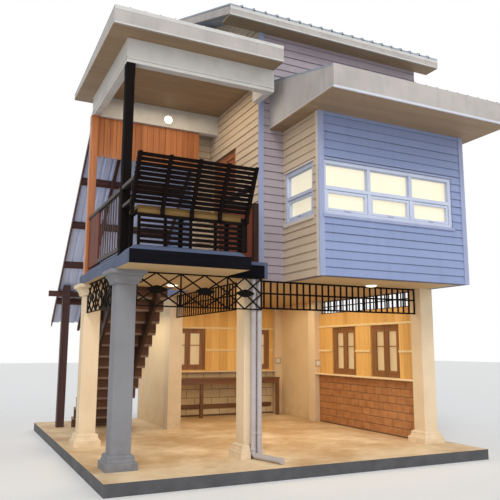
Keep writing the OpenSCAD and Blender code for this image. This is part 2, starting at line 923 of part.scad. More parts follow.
// Short guard and newel between the bench bay and the house, with the bay's right-hand rails.
module right_guard() {
    newel = 85;
    x_newel = deck_wall_x - 60 - 2 * newel;
    x0 = bay_x1 - rail_w - 15;
    y0 = deck_edge_y;
    y1 = y0 + 30 + guard_t;
    color(red_timber) placed() {
        block([x_newel, y0, deck_z], [x_newel + newel, y0 + newel, rail_z + 30]);
        block([x0, y0 + 30, deck_z], [x_newel, y1, rail_z - rail_w]);
        block([x0, bench_y - rail_reach, rail_z - rail_w], [x0 + rail_w, y1, rail_z]);
        block([x0 + rail_w, y0 + 30, rail_z - rail_w], [x_newel, y1, rail_z]);
    }
}

module stairhead_post() {
    color(orange_timber) placed() balcony_post(stairhead_x, balcony_depth - header_t);
}

// Row of upright boards with round ends over the stairhead.
module stairhead_valance() {
    x0 = stairhead_x + post_w;
    x1 = mid_x;
    count = floor((x1 - x0) / valance_w);
    w = (x1 - x0) / count;
    z0 = header_z - valance_h;
    board_gap = 4;
    color(orange_timber) placed()
        along_y(balcony_depth - header_t / 2, valance_t) union() {
            translate([x0, z0 + w / 2]) square([x1 - x0, valance_h - w / 2]);
            for (i = [0:count - 1])
                translate([x0 + (i + 0.5) * w, z0 + w / 2]) circle(d = w - board_gap);
        }
}

module bench_seat() {
    leg = 50;
    x0 = bay_x0 + ledge + 20;
    x1 = bay_x1 - ledge;
    y1 = bench_y + seat_d;
    color(brown_timber) placed() {
        block([x0, bench_y, seat_z], [x1, y1, seat_z + seat_t]);
        block([x0, bench_y, seat_z - seat_apron_h], [x1, bench_y + seat_apron_t, seat_z]);
        for (i = [0:2]) {
            x = x0 + i * (x1 - x0 - leg) / 2;
            block([x, y1 - leg, deck_z], [x + leg, y1, seat_z]);
        }
    }
}

// Place of bench post i, its low x.
function bench_post_x(i) =
    bay_x0 + 5 + i * (bay_w - 10 - bench_post_w) / (bench_posts - 1);

// Slats behind leaning posts, which run down outside the skirt.
module bench_backrest() {
    run = norm([back_lean, back_h]);
    lean = atan(back_lean / back_h);
    pitch = (run - slat_w - back_start) / (back_slats - 1);
    face_y = bench_y - skirt_t;
    slat_sunk = 3;
    color(dark_timber) placed() {
        for (i = [0:bench_posts - 1])
            along_x(bench_post_x(i), bench_post_w) polygon([
                [face_y, seat_z - post_tail], [face_y, seat_z],
                [face_y - back_lean, seat_z + back_h],
                [face_y - back_lean - bench_post_w, seat_z + back_h],
                [face_y - bench_post_w, seat_z], [face_y - bench_post_w, seat_z - post_tail]
            ]);
        for (i = [0:back_slats - 1])
            translate([bay_x0, face_y, seat_z]) rotate([lean, 0, 0])
                translate([0, -slat_sunk, back_start + i * pitch]) cube([bay_w, slat_t, slat_w]);
    }
}

// Slats under the seat, with uprights behind them.
module bench_skirt() {
    x0 = bay_x0 + ledge + 20;
    x1 = bay_x1 - ledge;
    top = seat_h - seat_apron_h;
    pitch = (top - skirt_lift - slat_w) / (skirt_slats - 1);
    color(dark_timber) placed() {
        for (i = [0:skirt_slats - 1]) {
            z = deck_z + skirt_lift + i * pitch;
            block([x0, bench_y - skirt_t, z], [x1, bench_y, z + slat_w]);
        }
        for (i = [0:4]) {
            x = x0 + i * (x1 - x0 - 35) / 4;
            block([x, bench_y, deck_z], [x + 35, bench_y + 30, deck_z + top]);
        }
    }
}

window_z = deck_z + sill_h;
ribbon_w = 3 * light_w;
ribbon_x = box_x0 + ribbon_gap;
side_window_y = box_y + siding_t + (box_out - siding_t - side_window_w) / 2;

module box_front_wall() {
    color(siding_paint) placed()
        along_y(box_y, siding_t) difference() {
            translate([box_x0, soffit_z]) square([house_x - box_x0, box_top_z - soffit_z]);
            translate([ribbon_x, window_z]) square([ribbon_w, window_h]);
        }
}

module box_side_walls() {
    color(siding_paint) placed()
        for (x = [box_x0, house_x - siding_t])
            along_x(x, siding_t) difference() {
                translate([box_y + siding_t, soffit_z])
                    square([box_out - siding_t, box_top_z - soffit_z]);
                translate([side_window_y, window_z]) square([side_window_w, window_h]);
            }
}

// Front wall of the room, open into the window box.
module room_front_wall() {
    color(siding_paint) placed()
        along_y(front_wall_y, siding_t) difference() {
            translate([deck_wall_x, soffit_z])
                square([house_x - deck_wall_x, main_roof_z(front_wall_y) - soffit_z]);
            translate([box_in_x0, soffit_z - 1])
                square([box_in_x1 - box_in_x0, box_top_z - soffit_z + 1]);
        }
}

door_y = deck_back_y - 140 - door_w;

// Wall between the balcony and the room, with the door opening.
module deck_side_wall() {
    y0 = front_wall_y + siding_t;
    y1 = deck_back_y;
    color(siding_paint) placed()
        along_x(deck_wall_x, siding_t) difference() {
            polygon([[y0, deck_z], [y1, deck_z], [y1, main_roof_z(y1)], [y0, main_roof_z(y0)]]);
            translate([door_y, deck_z - 1]) square([door_w, door_h + 1]);
        }
}

// Wall that steps out behind the balcony and runs back beside the stair, up to the gable.
module stair_side_wall() {
    y0 = deck_back_y;
    y1 = house_depth - siding_t;
    top0 = main_roof_z(y0);
    color(siding_paint) placed() union() {
        block([mid_x, y0, deck_z], [deck_wall_x + siding_t, y0 + siding_t, top0]);
        along_x(mid_x, siding_t)
            polygon([[y0, deck_z], [y1, deck_z], [y1, main_roof_z(y1)],
                [main_mid_y, main_roof_z(main_mid_y)], [y0, top0]]);
    }
}

room_gap = (room_span - 2 * room_window_w) / 3;
right_run = house_depth - front_wall_y;
right_gap = (right_run - 2 * room_window_w) / 3;

module room_back_wall() {
    y = house_depth - siding_t;
    color(siding_paint) placed()
        along_y(y, siding_t) difference() {
            translate([mid_x, deck_z]) square([room_span, main_roof_z(house_depth) - deck_z]);
            for (i = [0, 1])
                translate([mid_x + room_gap + i * (room_window_w + room_gap), window_z])
                    square([room_window_w, window_h]);
        }
}

module room_right_wall() {
    y0 = front_wall_y + siding_t;
    y1 = house_depth - siding_t;
    color(siding_paint) placed()
        along_x(house_x - siding_t, siding_t) difference() {
            polygon([[y0, deck_z], [y1, deck_z], [y1, main_roof_z(y1)],
                [main_mid_y, main_roof_z(main_mid_y)], [y0, main_roof_z(y0)]]);
            for (i = [0, 1])
                translate([front_wall_y + right_gap + i * (room_window_w + right_gap), window_z])
                    square([room_window_w, window_h]);
        }
}

// Places every upper window: width, columns of lights, and the frame's low corner and turn.
upper_windows = concat(
    [[ribbon_w, 3, [ribbon_x, box_y + 15, window_z], 0],
     [side_window_w, 1, [box_x0 + 15, side_window_y + side_window_w, window_z], -90],
     [side_window_w, 1, [house_x - 15, side_window_y, window_z], 90]],
    [for (i = [0, 1]) [room_window_w, 2,
        [mid_x + room_gap + i * (room_window_w + room_gap) + room_window_w, house_depth - 15,
         window_z], 180]],
    [for (i = [0, 1]) [room_window_w, 2,
        [house_x - 15, front_wall_y + right_gap + i * (room_window_w + right_gap), window_z], 90]]
);

module upper_window_frames() {
    color(window_white) placed()
        for (w = upper_windows) translate(w[2]) rotate([0, 0, w[3]])
            window_frame(w[0], window_h, frame_d, frame_bar, w[1], [lower_light_h], sash_bar);
}

module upper_window_glass() {
    color(warm_glass) placed()
        for (w = upper_windows) translate(w[2]) rotate([0, 0, w[3]])
            window_sheet(w[0], window_h, frame_d, frame_bar);
}

module deck_door() {
    color(orange_timber) placed()
        block([deck_wall_x + siding_t / 2 - door_t / 2, door_y, deck_z],
            [deck_wall_x + siding_t / 2 + door_t / 2, door_y + door_w, deck_z + door_h]);
}

box_eave_y = box_y - box_over;
deck_eave_y = header_y - deck_over;
deck_roof_z = deck_top_z + deck_fascia_h;

main_y0 = front_wall_y - main_over;
main_y1 = house_depth + main_over;
main_x0 = mid_x - gable_over;
main_w = room_span + 2 * gable_over;
box_roof_x0 = box_x0 - box_side_over;
box_roof_w = house_x - box_x0 + 2 * box_side_over;
box_roof_z = box_top_z + fascia_h;
box_rise = (front_wall_y - box_eave_y) * tan(box_pitch);
deck_roof_w = deck_wall_x + deck_side_over;
deck_fall = (deck_back_y - deck_eave_y) * tan(deck_pitch);

// Outline of the main roof between two heights over its underside.
module main_slopes(a, b) {
    ridge = main_roof_z(main_mid_y);
    polygon([
        [main_y0, main_base_z + a], [main_mid_y, ridge + a], [main_y1, main_base_z + a],
        [main_y1, main_base_z + b], [main_mid_y, ridge + b], [main_y0, main_base_z + b]
    ]);
}

// The same for the window box roof.
module box_slope(a, b) {
    polygon([
        [box_eave_y, box_roof_z + a], [front_wall_y, box_roof_z + box_rise + a],
        [front_wall_y, box_roof_z + box_rise + b], [box_eave_y, box_roof_z + b]
    ]);
}

// The same for the balcony roof.
module deck_slope(a, b) {
    polygon([
        [deck_eave_y, deck_roof_z + a], [deck_back_y, deck_roof_z - deck_fall + a],
        [deck_back_y, deck_roof_z - deck_fall + b], [deck_eave_y, deck_roof_z + b]
    ]);
}

module roof_sheets() {
    color(sheet_paint) placed() {
        along_x(main_x0, main_w) main_slopes(0, roof_t);
        along_x(box_roof_x0, box_roof_w) box_slope(0, roof_t);
        along_x(-deck_side_over, deck_roof_w) deck_slope(0, roof_t);
    }
}

// Even ribs of an outline over a width that starts at x0.
module ribs_over(x0, w) {
    count = round(w / rib_pitch);
    for (i = [0:count - 1])
        along_x(x0 + (i + 0.5) * w / count - rib_w / 2, rib_w) children();
}

module roof_ribs() {
    color(sheet_paint) placed() {
        ribs_over(main_x0, main_w) main_slopes(roof_t, roof_t + rib_h);
        ribs_over(box_roof_x0, box_roof_w) box_slope(roof_t, roof_t + rib_h);
        ribs_over(-deck_side_over, deck_roof_w) deck_slope(roof_t, roof_t + rib_h);
    }
}

module roof_fascias() {
    color(window_white) placed() {
        // Window box: front board and two closed side boards.
        block([box_roof_x0, box_eave_y - fascia_t, box_top_z],
            [box_roof_x0 + box_roof_w, box_eave_y, box_roof_z + roof_t]);
        for (x = [box_roof_x0, box_roof_x0 + box_roof_w - fascia_t])
            along_x(x, fascia_t) polygon([
                [box_eave_y, box_top_z + soffit_t], [front_wall_y, box_top_z + soffit_t],
                [front_wall_y, box_roof_z + box_rise], [box_eave_y, box_roof_z]
            ]);
        // Balcony roof: front board and left board.
        block([-deck_side_over, deck_eave_y - fascia_t, deck_top_z],
            [deck_wall_x, deck_eave_y, deck_roof_z + roof_t]);
        along_x(-deck_side_over, fascia_t) polygon([
            [deck_eave_y, deck_top_z + soffit_t], [deck_back_y, deck_top_z + soffit_t],
            [deck_back_y, deck_roof_z - deck_fall], [deck_eave_y, deck_roof_z]
        ]);
        // Main roof: eaves boards at front and back, barge boards between them on the gables.
        for (y = [main_y0, main_y1 - fascia_t])
            block([main_x0, y, room_top_z], [main_x0 + main_w, y + fascia_t, main_base_z]);
        for (x = [main_x0, main_x0 + main_w - fascia_t])
            along_x(x, fascia_t) polygon([
                [main_y0 + fascia_t, main_base_z - main_fascia_h + soffit_t],
                [main_mid_y, main_roof_z(main_mid_y) - main_fascia_h + soffit_t],
                [main_y1 - fascia_t, main_base_z - main_fascia_h + soffit_t],
                [main_y1 - fascia_t, main_base_z], [main_mid_y, main_roof_z(main_mid_y)],
                [main_y0 + fascia_t, main_base_z]
            ]);
    }
}

module roof_soffits() {
    x1 = main_x0 + main_w;
    color(soffit_paint) placed() {
        block([box_roof_x0, box_eave_y, box_top_z],
            [box_roof_x0 + box_roof_w, front_wall_y, box_top_z + soffit_t]);
        block([-deck_side_over, deck_eave_y, deck_top_z],
            [deck_wall_x, deck_back_y, deck_top_z + soffit_t]);
        block([main_x0, main_y0 + fascia_t, room_top_z], [x1, front_wall_y, room_top_z + soffit_t]);
        block([main_x0, house_depth, room_top_z], [x1, main_y1 - fascia_t, room_top_z + soffit_t]);
    }
}

// Height of the canopy sheet's underside over a place y.
function canopy_z(y) = deck_z + canopy_top - (y - canopy_y0) * tan(canopy_pitch);
canopy_y1 = canopy_y0 + canopy_run;
sheet_dz = canopy_t / cos(canopy_pitch);
purlin_dz = purlin_d / cos(canopy_pitch);
rafter_dz = rafter_d / cos(canopy_pitch);

// Sloped strip outline below the canopy plane, from depth a to depth b.
module canopy_strip(y0, y1, a, b) {
    polygon([
        [y0, canopy_z(y0) - a], [y1, canopy_z(y1) - a], [y1, canopy_z(y1) - b], [y0, canopy_z(y0) - b]
    ]);
}

module canopy_sheet() {
    color(sheet_paint) placed()
        along_x(canopy_x0, mid_x - canopy_x0) canopy_strip(canopy_y0, canopy_y1, -sheet_dz, 0);
}

canopy_post_x = canopy_x0 + canopy_post_in;
canopy_post_y = canopy_y1 - canopy_post_back;

// Purlins under the sheet, rafters under them, a barge board and a cross beam.
module canopy_frame() {
    count = floor((canopy_y1 - canopy_y0 - purlin_w - purlin_start) / purlin_pitch);
    rafters = [middle_rafter_x, mid_x - rafter_w];
    beam_y = canopy_post_y + canopy_post_w;
    beam_top = canopy_z(beam_y + canopy_beam_t);
    color(dark_timber) placed() {
        for (i = [0:count]) {
            y = canopy_y0 + purlin_start + i * purlin_pitch;
            along_x(canopy_x0, mid_x - canopy_x0) canopy_strip(y, y + purlin_w, 0, purlin_dz);
        }
        for (x = rafters)
            along_x(x, rafter_w) canopy_strip(canopy_y0, canopy_y1, purlin_dz, purlin_dz + rafter_dz);
        along_x(canopy_x0 - barge_t, barge_t)
            canopy_strip(canopy_y0, canopy_y1, -sheet_dz, purlin_dz);
        block([canopy_x0 - canopy_beam_out, beam_y, beam_top - canopy_beam_h],
            [mid_x + rear_wall_in, beam_y + canopy_beam_t, beam_top]);
    }
}

// Post before the cross beam, its top cut to the slope.
module canopy_post() {
    y0 = canopy_post_y;
    y1 = y0 + canopy_post_w;
    color(dark_timber) placed()
        along_x(canopy_post_x, canopy_post_w) polygon([
            [y0, slab_t], [y1, slab_t], [y1, canopy_z(y1) - purlin_dz], [y0, canopy_z(y0) - purlin_dz]
        ]);
}

module ceiling_lights() {
    color(lamp_white) placed() {
        translate([deck_light_x, deck_light_y, soffit_z - light_h])
            cylinder(d = light_d, h = light_h);
        translate([mid_x + room_light_x, -light_d / 2 - 10, soffit_z - light_h])
            cylinder(d = light_d, h = light_h);
        translate([post_x + post_w + beam_light_x, balcony_depth - header_t, header_z + beam_light_z])
            rotate([90, 0, 0]) cylinder(d = light_d * 0.8, h = light_h);
    }
}

ground_slab();
balcony_columns();
front_columns();
rear_columns();
low_walls();
board_walls();
plaster_walls();
ground_window_frames();
ground_window_glass();
sill_shelf();
wall_counter();
front_lattice();
side_lattice();
front_bar_frieze();
inner_bar_frieze();
side_bar_frieze();
stair_strings();
stair_treads();
stair_risers();
downpipes();
upper_floor();
deck_edge_boards();
deck_posts();
deck_header();
side_railing();
stair_guard();
right_guard();
stairhead_post();
stairhead_valance();
bench_seat();
bench_backrest();
bench_skirt();
box_front_wall();
box_side_walls();
room_front_wall();
deck_side_wall();
stair_side_wall();
room_back_wall();
room_right_wall();
upper_window_frames();
upper_window_glass();
deck_door();
roof_sheets();
roof_ribs();
roof_fascias();
roof_soffits();
canopy_sheet();
canopy_frame();
canopy_post();
ceiling_lights();
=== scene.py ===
"""Looks of the house on concrete columns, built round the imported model.

Every length is in metres, in the model's own frame: x to the right along the front, y to the back,
z up from the ground. New pieces are arrays worked out with numpy, and finishes are procedural.
"""
import json
import logging
import math
from dataclasses import dataclass, field
from enum import Enum
from typing import Callable, Sequence, Union

import bpy
import numpy as np
from mathutils import Matrix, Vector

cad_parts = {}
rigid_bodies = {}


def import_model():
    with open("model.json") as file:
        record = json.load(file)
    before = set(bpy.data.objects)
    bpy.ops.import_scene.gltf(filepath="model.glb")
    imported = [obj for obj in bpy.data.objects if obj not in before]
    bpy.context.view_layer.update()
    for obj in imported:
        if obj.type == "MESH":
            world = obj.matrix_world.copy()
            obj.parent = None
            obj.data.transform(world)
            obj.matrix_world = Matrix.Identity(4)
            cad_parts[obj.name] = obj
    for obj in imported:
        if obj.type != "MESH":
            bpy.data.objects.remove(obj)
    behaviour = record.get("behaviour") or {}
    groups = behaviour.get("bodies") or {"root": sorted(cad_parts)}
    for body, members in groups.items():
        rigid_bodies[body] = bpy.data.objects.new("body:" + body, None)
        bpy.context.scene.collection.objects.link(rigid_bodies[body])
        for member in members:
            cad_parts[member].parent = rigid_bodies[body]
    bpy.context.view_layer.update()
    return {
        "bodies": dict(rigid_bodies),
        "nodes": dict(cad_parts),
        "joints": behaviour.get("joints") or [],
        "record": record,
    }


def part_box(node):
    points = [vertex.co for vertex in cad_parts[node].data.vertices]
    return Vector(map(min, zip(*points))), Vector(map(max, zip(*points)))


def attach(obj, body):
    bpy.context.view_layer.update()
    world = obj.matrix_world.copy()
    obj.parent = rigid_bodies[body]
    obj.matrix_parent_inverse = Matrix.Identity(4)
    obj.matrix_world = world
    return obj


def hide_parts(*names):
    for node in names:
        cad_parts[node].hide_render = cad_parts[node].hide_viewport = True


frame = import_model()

log = logging.getLogger("house")
Number = Union[int, float]
Pair = tuple[float, float]
Point = tuple[float, float, float]
Rgb = tuple[float, float, float]

# World place of the plan's own origin: world = plan + ORIGIN
ORIGIN = np.array([-2.675, -2.0375, 0.0])

# Height of a siding board that shows, and the joint that the boards are counted from
EXPOSURE = 0.123
FIRST_JOINT = 2.65


class Axis(Enum):
    """The direction that a length, a grain or a row of boards runs in."""

    X = 0
    Y = 1
    Z = 2


# Shapes


@dataclass
class Shape:
    """Corners and faces of one mesh, kept as arrays until the piece is made."""

    points: list[np.ndarray] = field(default_factory=list)
    faces: list[list[int]] = field(default_factory=list)
    count: int = 0

    def add(self, points: np.ndarray, faces: Sequence[Sequence[int]]) -> "Shape":
        """Adds corners and the faces that use them.

        Args:
            points: corners, one row of x, y, z each.
            faces: for each face, the rows of its corners, in outward order.

        Returns:
            This shape, so that calls can follow one another.
        """
        base = self.count
        self.points.append(np.asarray(points, float).reshape(-1, 3))
        self.faces.extend([[int(i) + base for i in f] for f in faces])
        self.count += len(self.points[-1])
        return self

    def join(self, other: "Shape") -> "Shape":
        """Adds all of another shape and returns this one."""
        if other.count:
            self.add(np.concatenate(other.points), other.faces)
        return self

    def moved(self, turn: np.ndarray, shift: Sequence[float]) -> "Shape":
        """Returns a copy whose corners are turned by a 3 by 3 array, then shifted."""
        made = Shape()
        if self.count:
            points = np.concatenate(self.points) @ np.asarray(turn, float).T
            made.add(points + np.asarray(shift, float), self.faces)
        return made


def ring_faces(rings: int, size: int) -> list[list[int]]:
    """Faces between successive rings of equal size, and the two end caps.

    Args:
        rings: number of rings.
        size: corners in one ring, counter-clockwise seen from the far end back to the start.

    Returns:
        Faces as lists of corner numbers, ring by ring.
    """
    i, j = np.meshgrid(np.arange(rings - 1), np.arange(size), indexing="ij")
    k = (j + 1) % size
    quads = np.stack([i * size + j, i * size + k, (i + 1) * size + k, (i + 1) * size + j], -1)
    faces = quads.reshape(-1, 4).tolist()
    faces.append(list(range(size))[::-1])
    faces.append([(rings - 1) * size + n for n in range(size)])
    return faces


def carried(profile: np.ndarray, axis: Axis, start: float, end: float) -> Shape:
    """A closed bar: a flat outline carried straight along one axis.

    The outline is given in the two other axes, in the order y z, z x or x y, so that its
    counter-clockwise order shows from the far end. Corner (s, n) is outline[n] at start for s = 0
    and at end for s = 1.

    Args:
        profile: outline, one row of two numbers each, counter-clockwise.
        axis: the direction it is carried in.
        start: where the bar starts on that axis.
        end: where it ends.

    Returns:
        The closed shape.
    """
    p = np.asarray(profile, float)
    if end < start:
        start, end = end, start
    along = np.repeat([start, end], len(p))
    a, b = np.tile(p[:, 0], 2), np.tile(p[:, 1], 2)
    order = {Axis.X: (along, a, b), Axis.Y: (b, along, a), Axis.Z: (a, b, along)}[axis]
    return Shape().add(np.stack(order, -1), ring_faces(2, len(p)))


def soft_rect(a0: float, b0: float, a1: float, b1: float, round_by: float = 0.004) -> np.ndarray:
    """A rectangle whose corners are cut by two short edges each, counter-clockwise."""
    r = min(round_by, abs(a1 - a0) / 2.2, abs(b1 - b0) / 2.2)
    q = r * (1 - math.sqrt(0.5))
    corner = np.array([[0, r], [q, q], [r, 0]])
    a0, a1 = min(a0, a1), max(a0, a1)
    b0, b1 = min(b0, b1), max(b0, b1)
    return np.concatenate([
        np.array([a0, b0]) + corner,
        np.array([a1, b0]) + (corner * [-1, 1])[::-1],
        np.array([a1, b1]) - corner,
        np.array([a0, b1]) + (corner * [1, -1])[::-1],
    ])


def bar(low: Sequence[float], high: Sequence[float], axis: Axis, round_by: float = 0.004) -> Shape:
    """A straight member between two corners of its box, with its long edges eased.

    Args:
        low: one corner of the box.
        high: the opposite corner.
        axis: the member's long direction.
        round_by: how far the long edges are cut back.

    Returns:
        The closed shape.
    """
    a, b = {Axis.X: (1, 2), Axis.Y: (2, 0), Axis.Z: (0, 1)}[axis]
    outline = soft_rect(low[a], low[b], high[a], high[b], round_by)
    return carried(outline, axis, low[axis.value], high[axis.value])


def turned_round(profile: np.ndarray, centre: Sequence[float], steps: int = 32) -> Shape:
    """A solid of revolution about an upright axis.

    Corner (s, n) is at angle 2 pi n / steps, at profile[s] = (radius, height).

    Args:
        profile: rows of radius and height from the bottom up; the ends have a small radius.
        centre: the point on the axis that heights are measured from.
        steps: corners round one ring.

    Returns:
        The closed shape.
    """
    p = np.asarray(profile, float)
    t = np.arange(steps) * 2 * math.pi / steps
    ring = np.stack([np.cos(t), np.sin(t)], -1)
    xy = p[:, None, 0, None] * ring[None]
    z = np.broadcast_to(p[:, 1, None, None], (len(p), steps, 1))
    pts = np.concatenate([xy, z], -1) + np.asarray(centre, float)
    return Shape().add(pts, ring_faces(len(p), steps))


def square_shaft(profile: np.ndarray, low: Sequence[float], high: Sequence[float]) -> Shape:
    """A moulding carried round a rectangle: ring s is the rectangle grown by profile[s, 0].

    Args:
        profile: rows of outward reach and height, from the bottom up.
        low: left front corner of the plain rectangle.
        high: right back corner of it.

    Returns:
        The closed shape.
    """
    p = np.asarray(profile, float)
    sign = np.array([[-1, -1], [1, -1], [1, 1], [-1, 1]], float)
    base = np.array([[low[0], low[1]], [high[0], low[1]], [high[0], high[1]], [low[0], high[1]]])
    xy = base[None] + p[:, 0, None, None] * sign[None]
    z = np.broadcast_to(p[:, 1, None, None], (len(p), 4, 1))
    return Shape().add(np.concatenate([xy, z], -1), ring_faces(len(p), 4))


def thick_surface(outer: np.ndarray, inner: np.ndarray) -> Shape:
    """A closed plate between two grids of corners, outer[i, j] over inner[i, j].

    Seen from outside, i runs to the right and j runs up.

    Args:
        outer: grid of corners of the outer face, shape (n, m, 3).
        inner: grid of the inner face, same shape.

    Returns:
        The closed shape.
    """
    n, m = outer.shape[:2]
    i, j = np.meshgrid(np.arange(n - 1), np.arange(m - 1), indexing="ij")
    a = i * m + j
    front = np.stack([a, a + m, a + m + 1, a + 1], -1).reshape(-1, 4)
    back = front[:, ::-1] + n * m
    low, high = np.arange(n - 1) * m, np.arange(n - 1) * m + m - 1
    bottom = np.stack([low + n * m, low + m + n * m, low + m, low], -1)
    top = np.stack([high, high + m, high + m + n * m, high + n * m], -1)
    left, right = np.arange(m - 1), np.arange(m - 1) + (n - 1) * m
    side_l = np.stack([left + n * m, left, left + 1, left + 1 + n * m], -1)
    side_r = np.stack([right, right + n * m, right + 1 + n * m, right + 1], -1)
    faces = np.concatenate([front, back, bottom, top, side_l, side_r])
    return Shape().add(np.concatenate([outer.reshape(-1, 3), inner.reshape(-1, 3)]), faces.tolist())


def split_round(span: Pair, holes: Sequence[Pair]) -> list[Pair]:
    """The stretches of a span that are left beside holes in it."""
    spans, at = [], span[0]
    for a, b in sorted(holes):
        if a > at + 1e-6:
            spans.append((at, min(a, span[1])))
        at = max(at, b)
    if at < span[1] - 1e-6:
        spans.append((at, span[1]))
    return [s for s in spans if s[1] - s[0] > 1e-4]


# Shader maths

Operand = Union["Val", Number]


class Val:
    """A socket that Python's operators work on: each adds a Math node."""

    def __init__(self, tree: "Tree", socket: bpy.types.NodeSocket) -> None:
        """Wraps one output socket of a tree."""
        self.tree, self.socket = tree, socket

    def _math(self, kind: str, *args: Operand, clamp: bool = False) -> "Val":
        """Adds a Math node of that kind and returns its value."""
        settings = {"operation": kind, "use_clamp": clamp}
        return self.tree.node("ShaderNodeMath", settings, dict(enumerate(args)))

    def __add__(self, o: Operand) -> "Val":
        """Self plus another."""
        return self._math("ADD", self, o)

    __radd__ = __add__

    def __sub__(self, o: Operand) -> "Val":
        """Self minus another."""
        return self._math("SUBTRACT", self, o)

    def __rsub__(self, o: Operand) -> "Val":
        """Another minus self."""
        return self._math("SUBTRACT", o, self)

    def __mul__(self, o: Operand) -> "Val":
        """Self times another."""
        return self._math("MULTIPLY", self, o)

    def __truediv__(self, o: Operand) -> "Val":
        """Self divided by another."""
        return self._math("DIVIDE", self, o)

    def __mod__(self, o: Operand) -> "Val":
        """What is left of self after whole steps, never below nothing."""
        return self._math("FLOORED_MODULO", self, o)

    def __lt__(self, o: Operand) -> "Val":
        """One where self is less, else nothing."""
        return self._math("LESS_THAN", self, o)

    def floor(self) -> "Val":
        """The whole number at or below self."""
        return self._math("FLOOR", self)

    def clamped(self) -> "Val":
        """Self kept between nothing and one."""
        return self._math("ADD", self, 0.0, clamp=True)

    def ramp(self, low: float, high: float) -> "Val":
        """Nothing at low and below, one at high and above, straight between."""
        return self.tree.node(
            "ShaderNodeMapRange", {"clamp": True},
            {"Value": self, "From Min": low, "From Max": high, "To Min": 0.0, "To Max": 1.0},
        )


Input = Union[Val, Number, Sequence[float]]


class Tree:
    """The nodes of one material, with one method that makes any of them."""

    def __init__(self, name: str) -> None:
        """Makes an empty material with its output."""
        self.material = bpy.data.materials.new(name)
        self.material.use_nodes = True
        self.nodes, self.links = self.material.node_tree.nodes, self.material.node_tree.links
        self.nodes.clear()
        self.out = self.nodes.new("ShaderNodeOutputMaterial")
        place = Val(self, self.nodes.new("ShaderNodeTexCoord").outputs["Object"])
        shift = tuple(-v for v in ORIGIN)
        self.place = self.node("ShaderNodeVectorMath", {"operation": "ADD"}, {0: place, 1: shift})

    def node(self, kind: str, settings: dict[str, object], values: dict[Union[str, int], Input],
             result: Union[str, int] = 0) -> Val:
        """Adds one node.

        Args:
            kind: the node's type.
            settings: its own settings, set first.
            values: for each input socket, a number, a colour, a vector or another value.
            result: the output socket that is given back.

        Returns:
            The value of that output.
        """
        n = self.nodes.new(kind)
        for key, value in settings.items():
            setattr(n, key, value)
        for key, value in values.items():
            if isinstance(value, Val):
                self.links.new(value.socket, n.inputs[key])
            else:
                n.inputs[key].default_value = value
        return Val(self, n.outputs[result])

    def mix(self, amount: Input, a: Input, b: Input) -> Val:
        """A colour between a and b, b where amount is one."""
        full = [tuple(c) + (1.0,) if not isinstance(c, Val) and len(c) == 3 else c for c in (a, b)]
        settings = {"data_type": "RGBA", "clamp_factor": True}
        return self.node("ShaderNodeMix", settings, {0: amount, 6: full[0], 7: full[1]}, 2)

    def scaled(self, by: Sequence[float]) -> Val:
        """The place on the piece, stretched along each axis."""
        return self.node("ShaderNodeVectorMath", {"operation": "MULTIPLY"}, {0: self.place, 1: tuple(by)})

    def along(self, axis: Axis) -> Val:
        """The place along one axis, in metres."""
        return self.node("ShaderNodeSeparateXYZ", {}, {0: self.place}, axis.value)

    def noise(self, scale: float, detail: float = 3.0, rough: float = 0.55,
              by: Sequence[float] = (1, 1, 1)) -> Val:
        """Cloudy noise about one half, stretched by the given factors."""
        return self.node(
            "ShaderNodeTexNoise", {"noise_dimensions": "3D"},
            {"Vector": self.scaled(by), "Scale": scale, "Detail": detail, "Roughness": rough}, "Fac",
        )

    def per_board(self, index: Val) -> Val:
        """A steady random value for each whole number."""
        return self.node("ShaderNodeTexWhiteNoise", {"noise_dimensions": "1D"}, {"W": index}, "Value")

    def bump(self, height: Val, depth: float) -> Val:
        """A normal bent by a height; depth is the relief in metres."""
        values = {"Height": height, "Distance": depth, "Strength": 1.0}
        return self.node("ShaderNodeBump", {}, values, "Normal")

    def finish(self, **sockets: Input) -> bpy.types.Material:
        """Adds the Principled shader, with underscores standing for spaces, and returns the material."""
        shader = self.node("ShaderNodeBsdfPrincipled", {}, {})
        n = shader.socket.node
        for key, value in sockets.items():
            target = n.inputs[key.replace("_", " ")]
            if isinstance(value, Val):
                self.links.new(value.socket, target)
            elif isinstance(value, tuple) and len(value) == 3:
                target.default_value = (*value, 1.0)
            else:
                target.default_value = value
        self.links.new(shader.socket, self.out.inputs["Surface"])
        return self.material


# Camera, light and floor


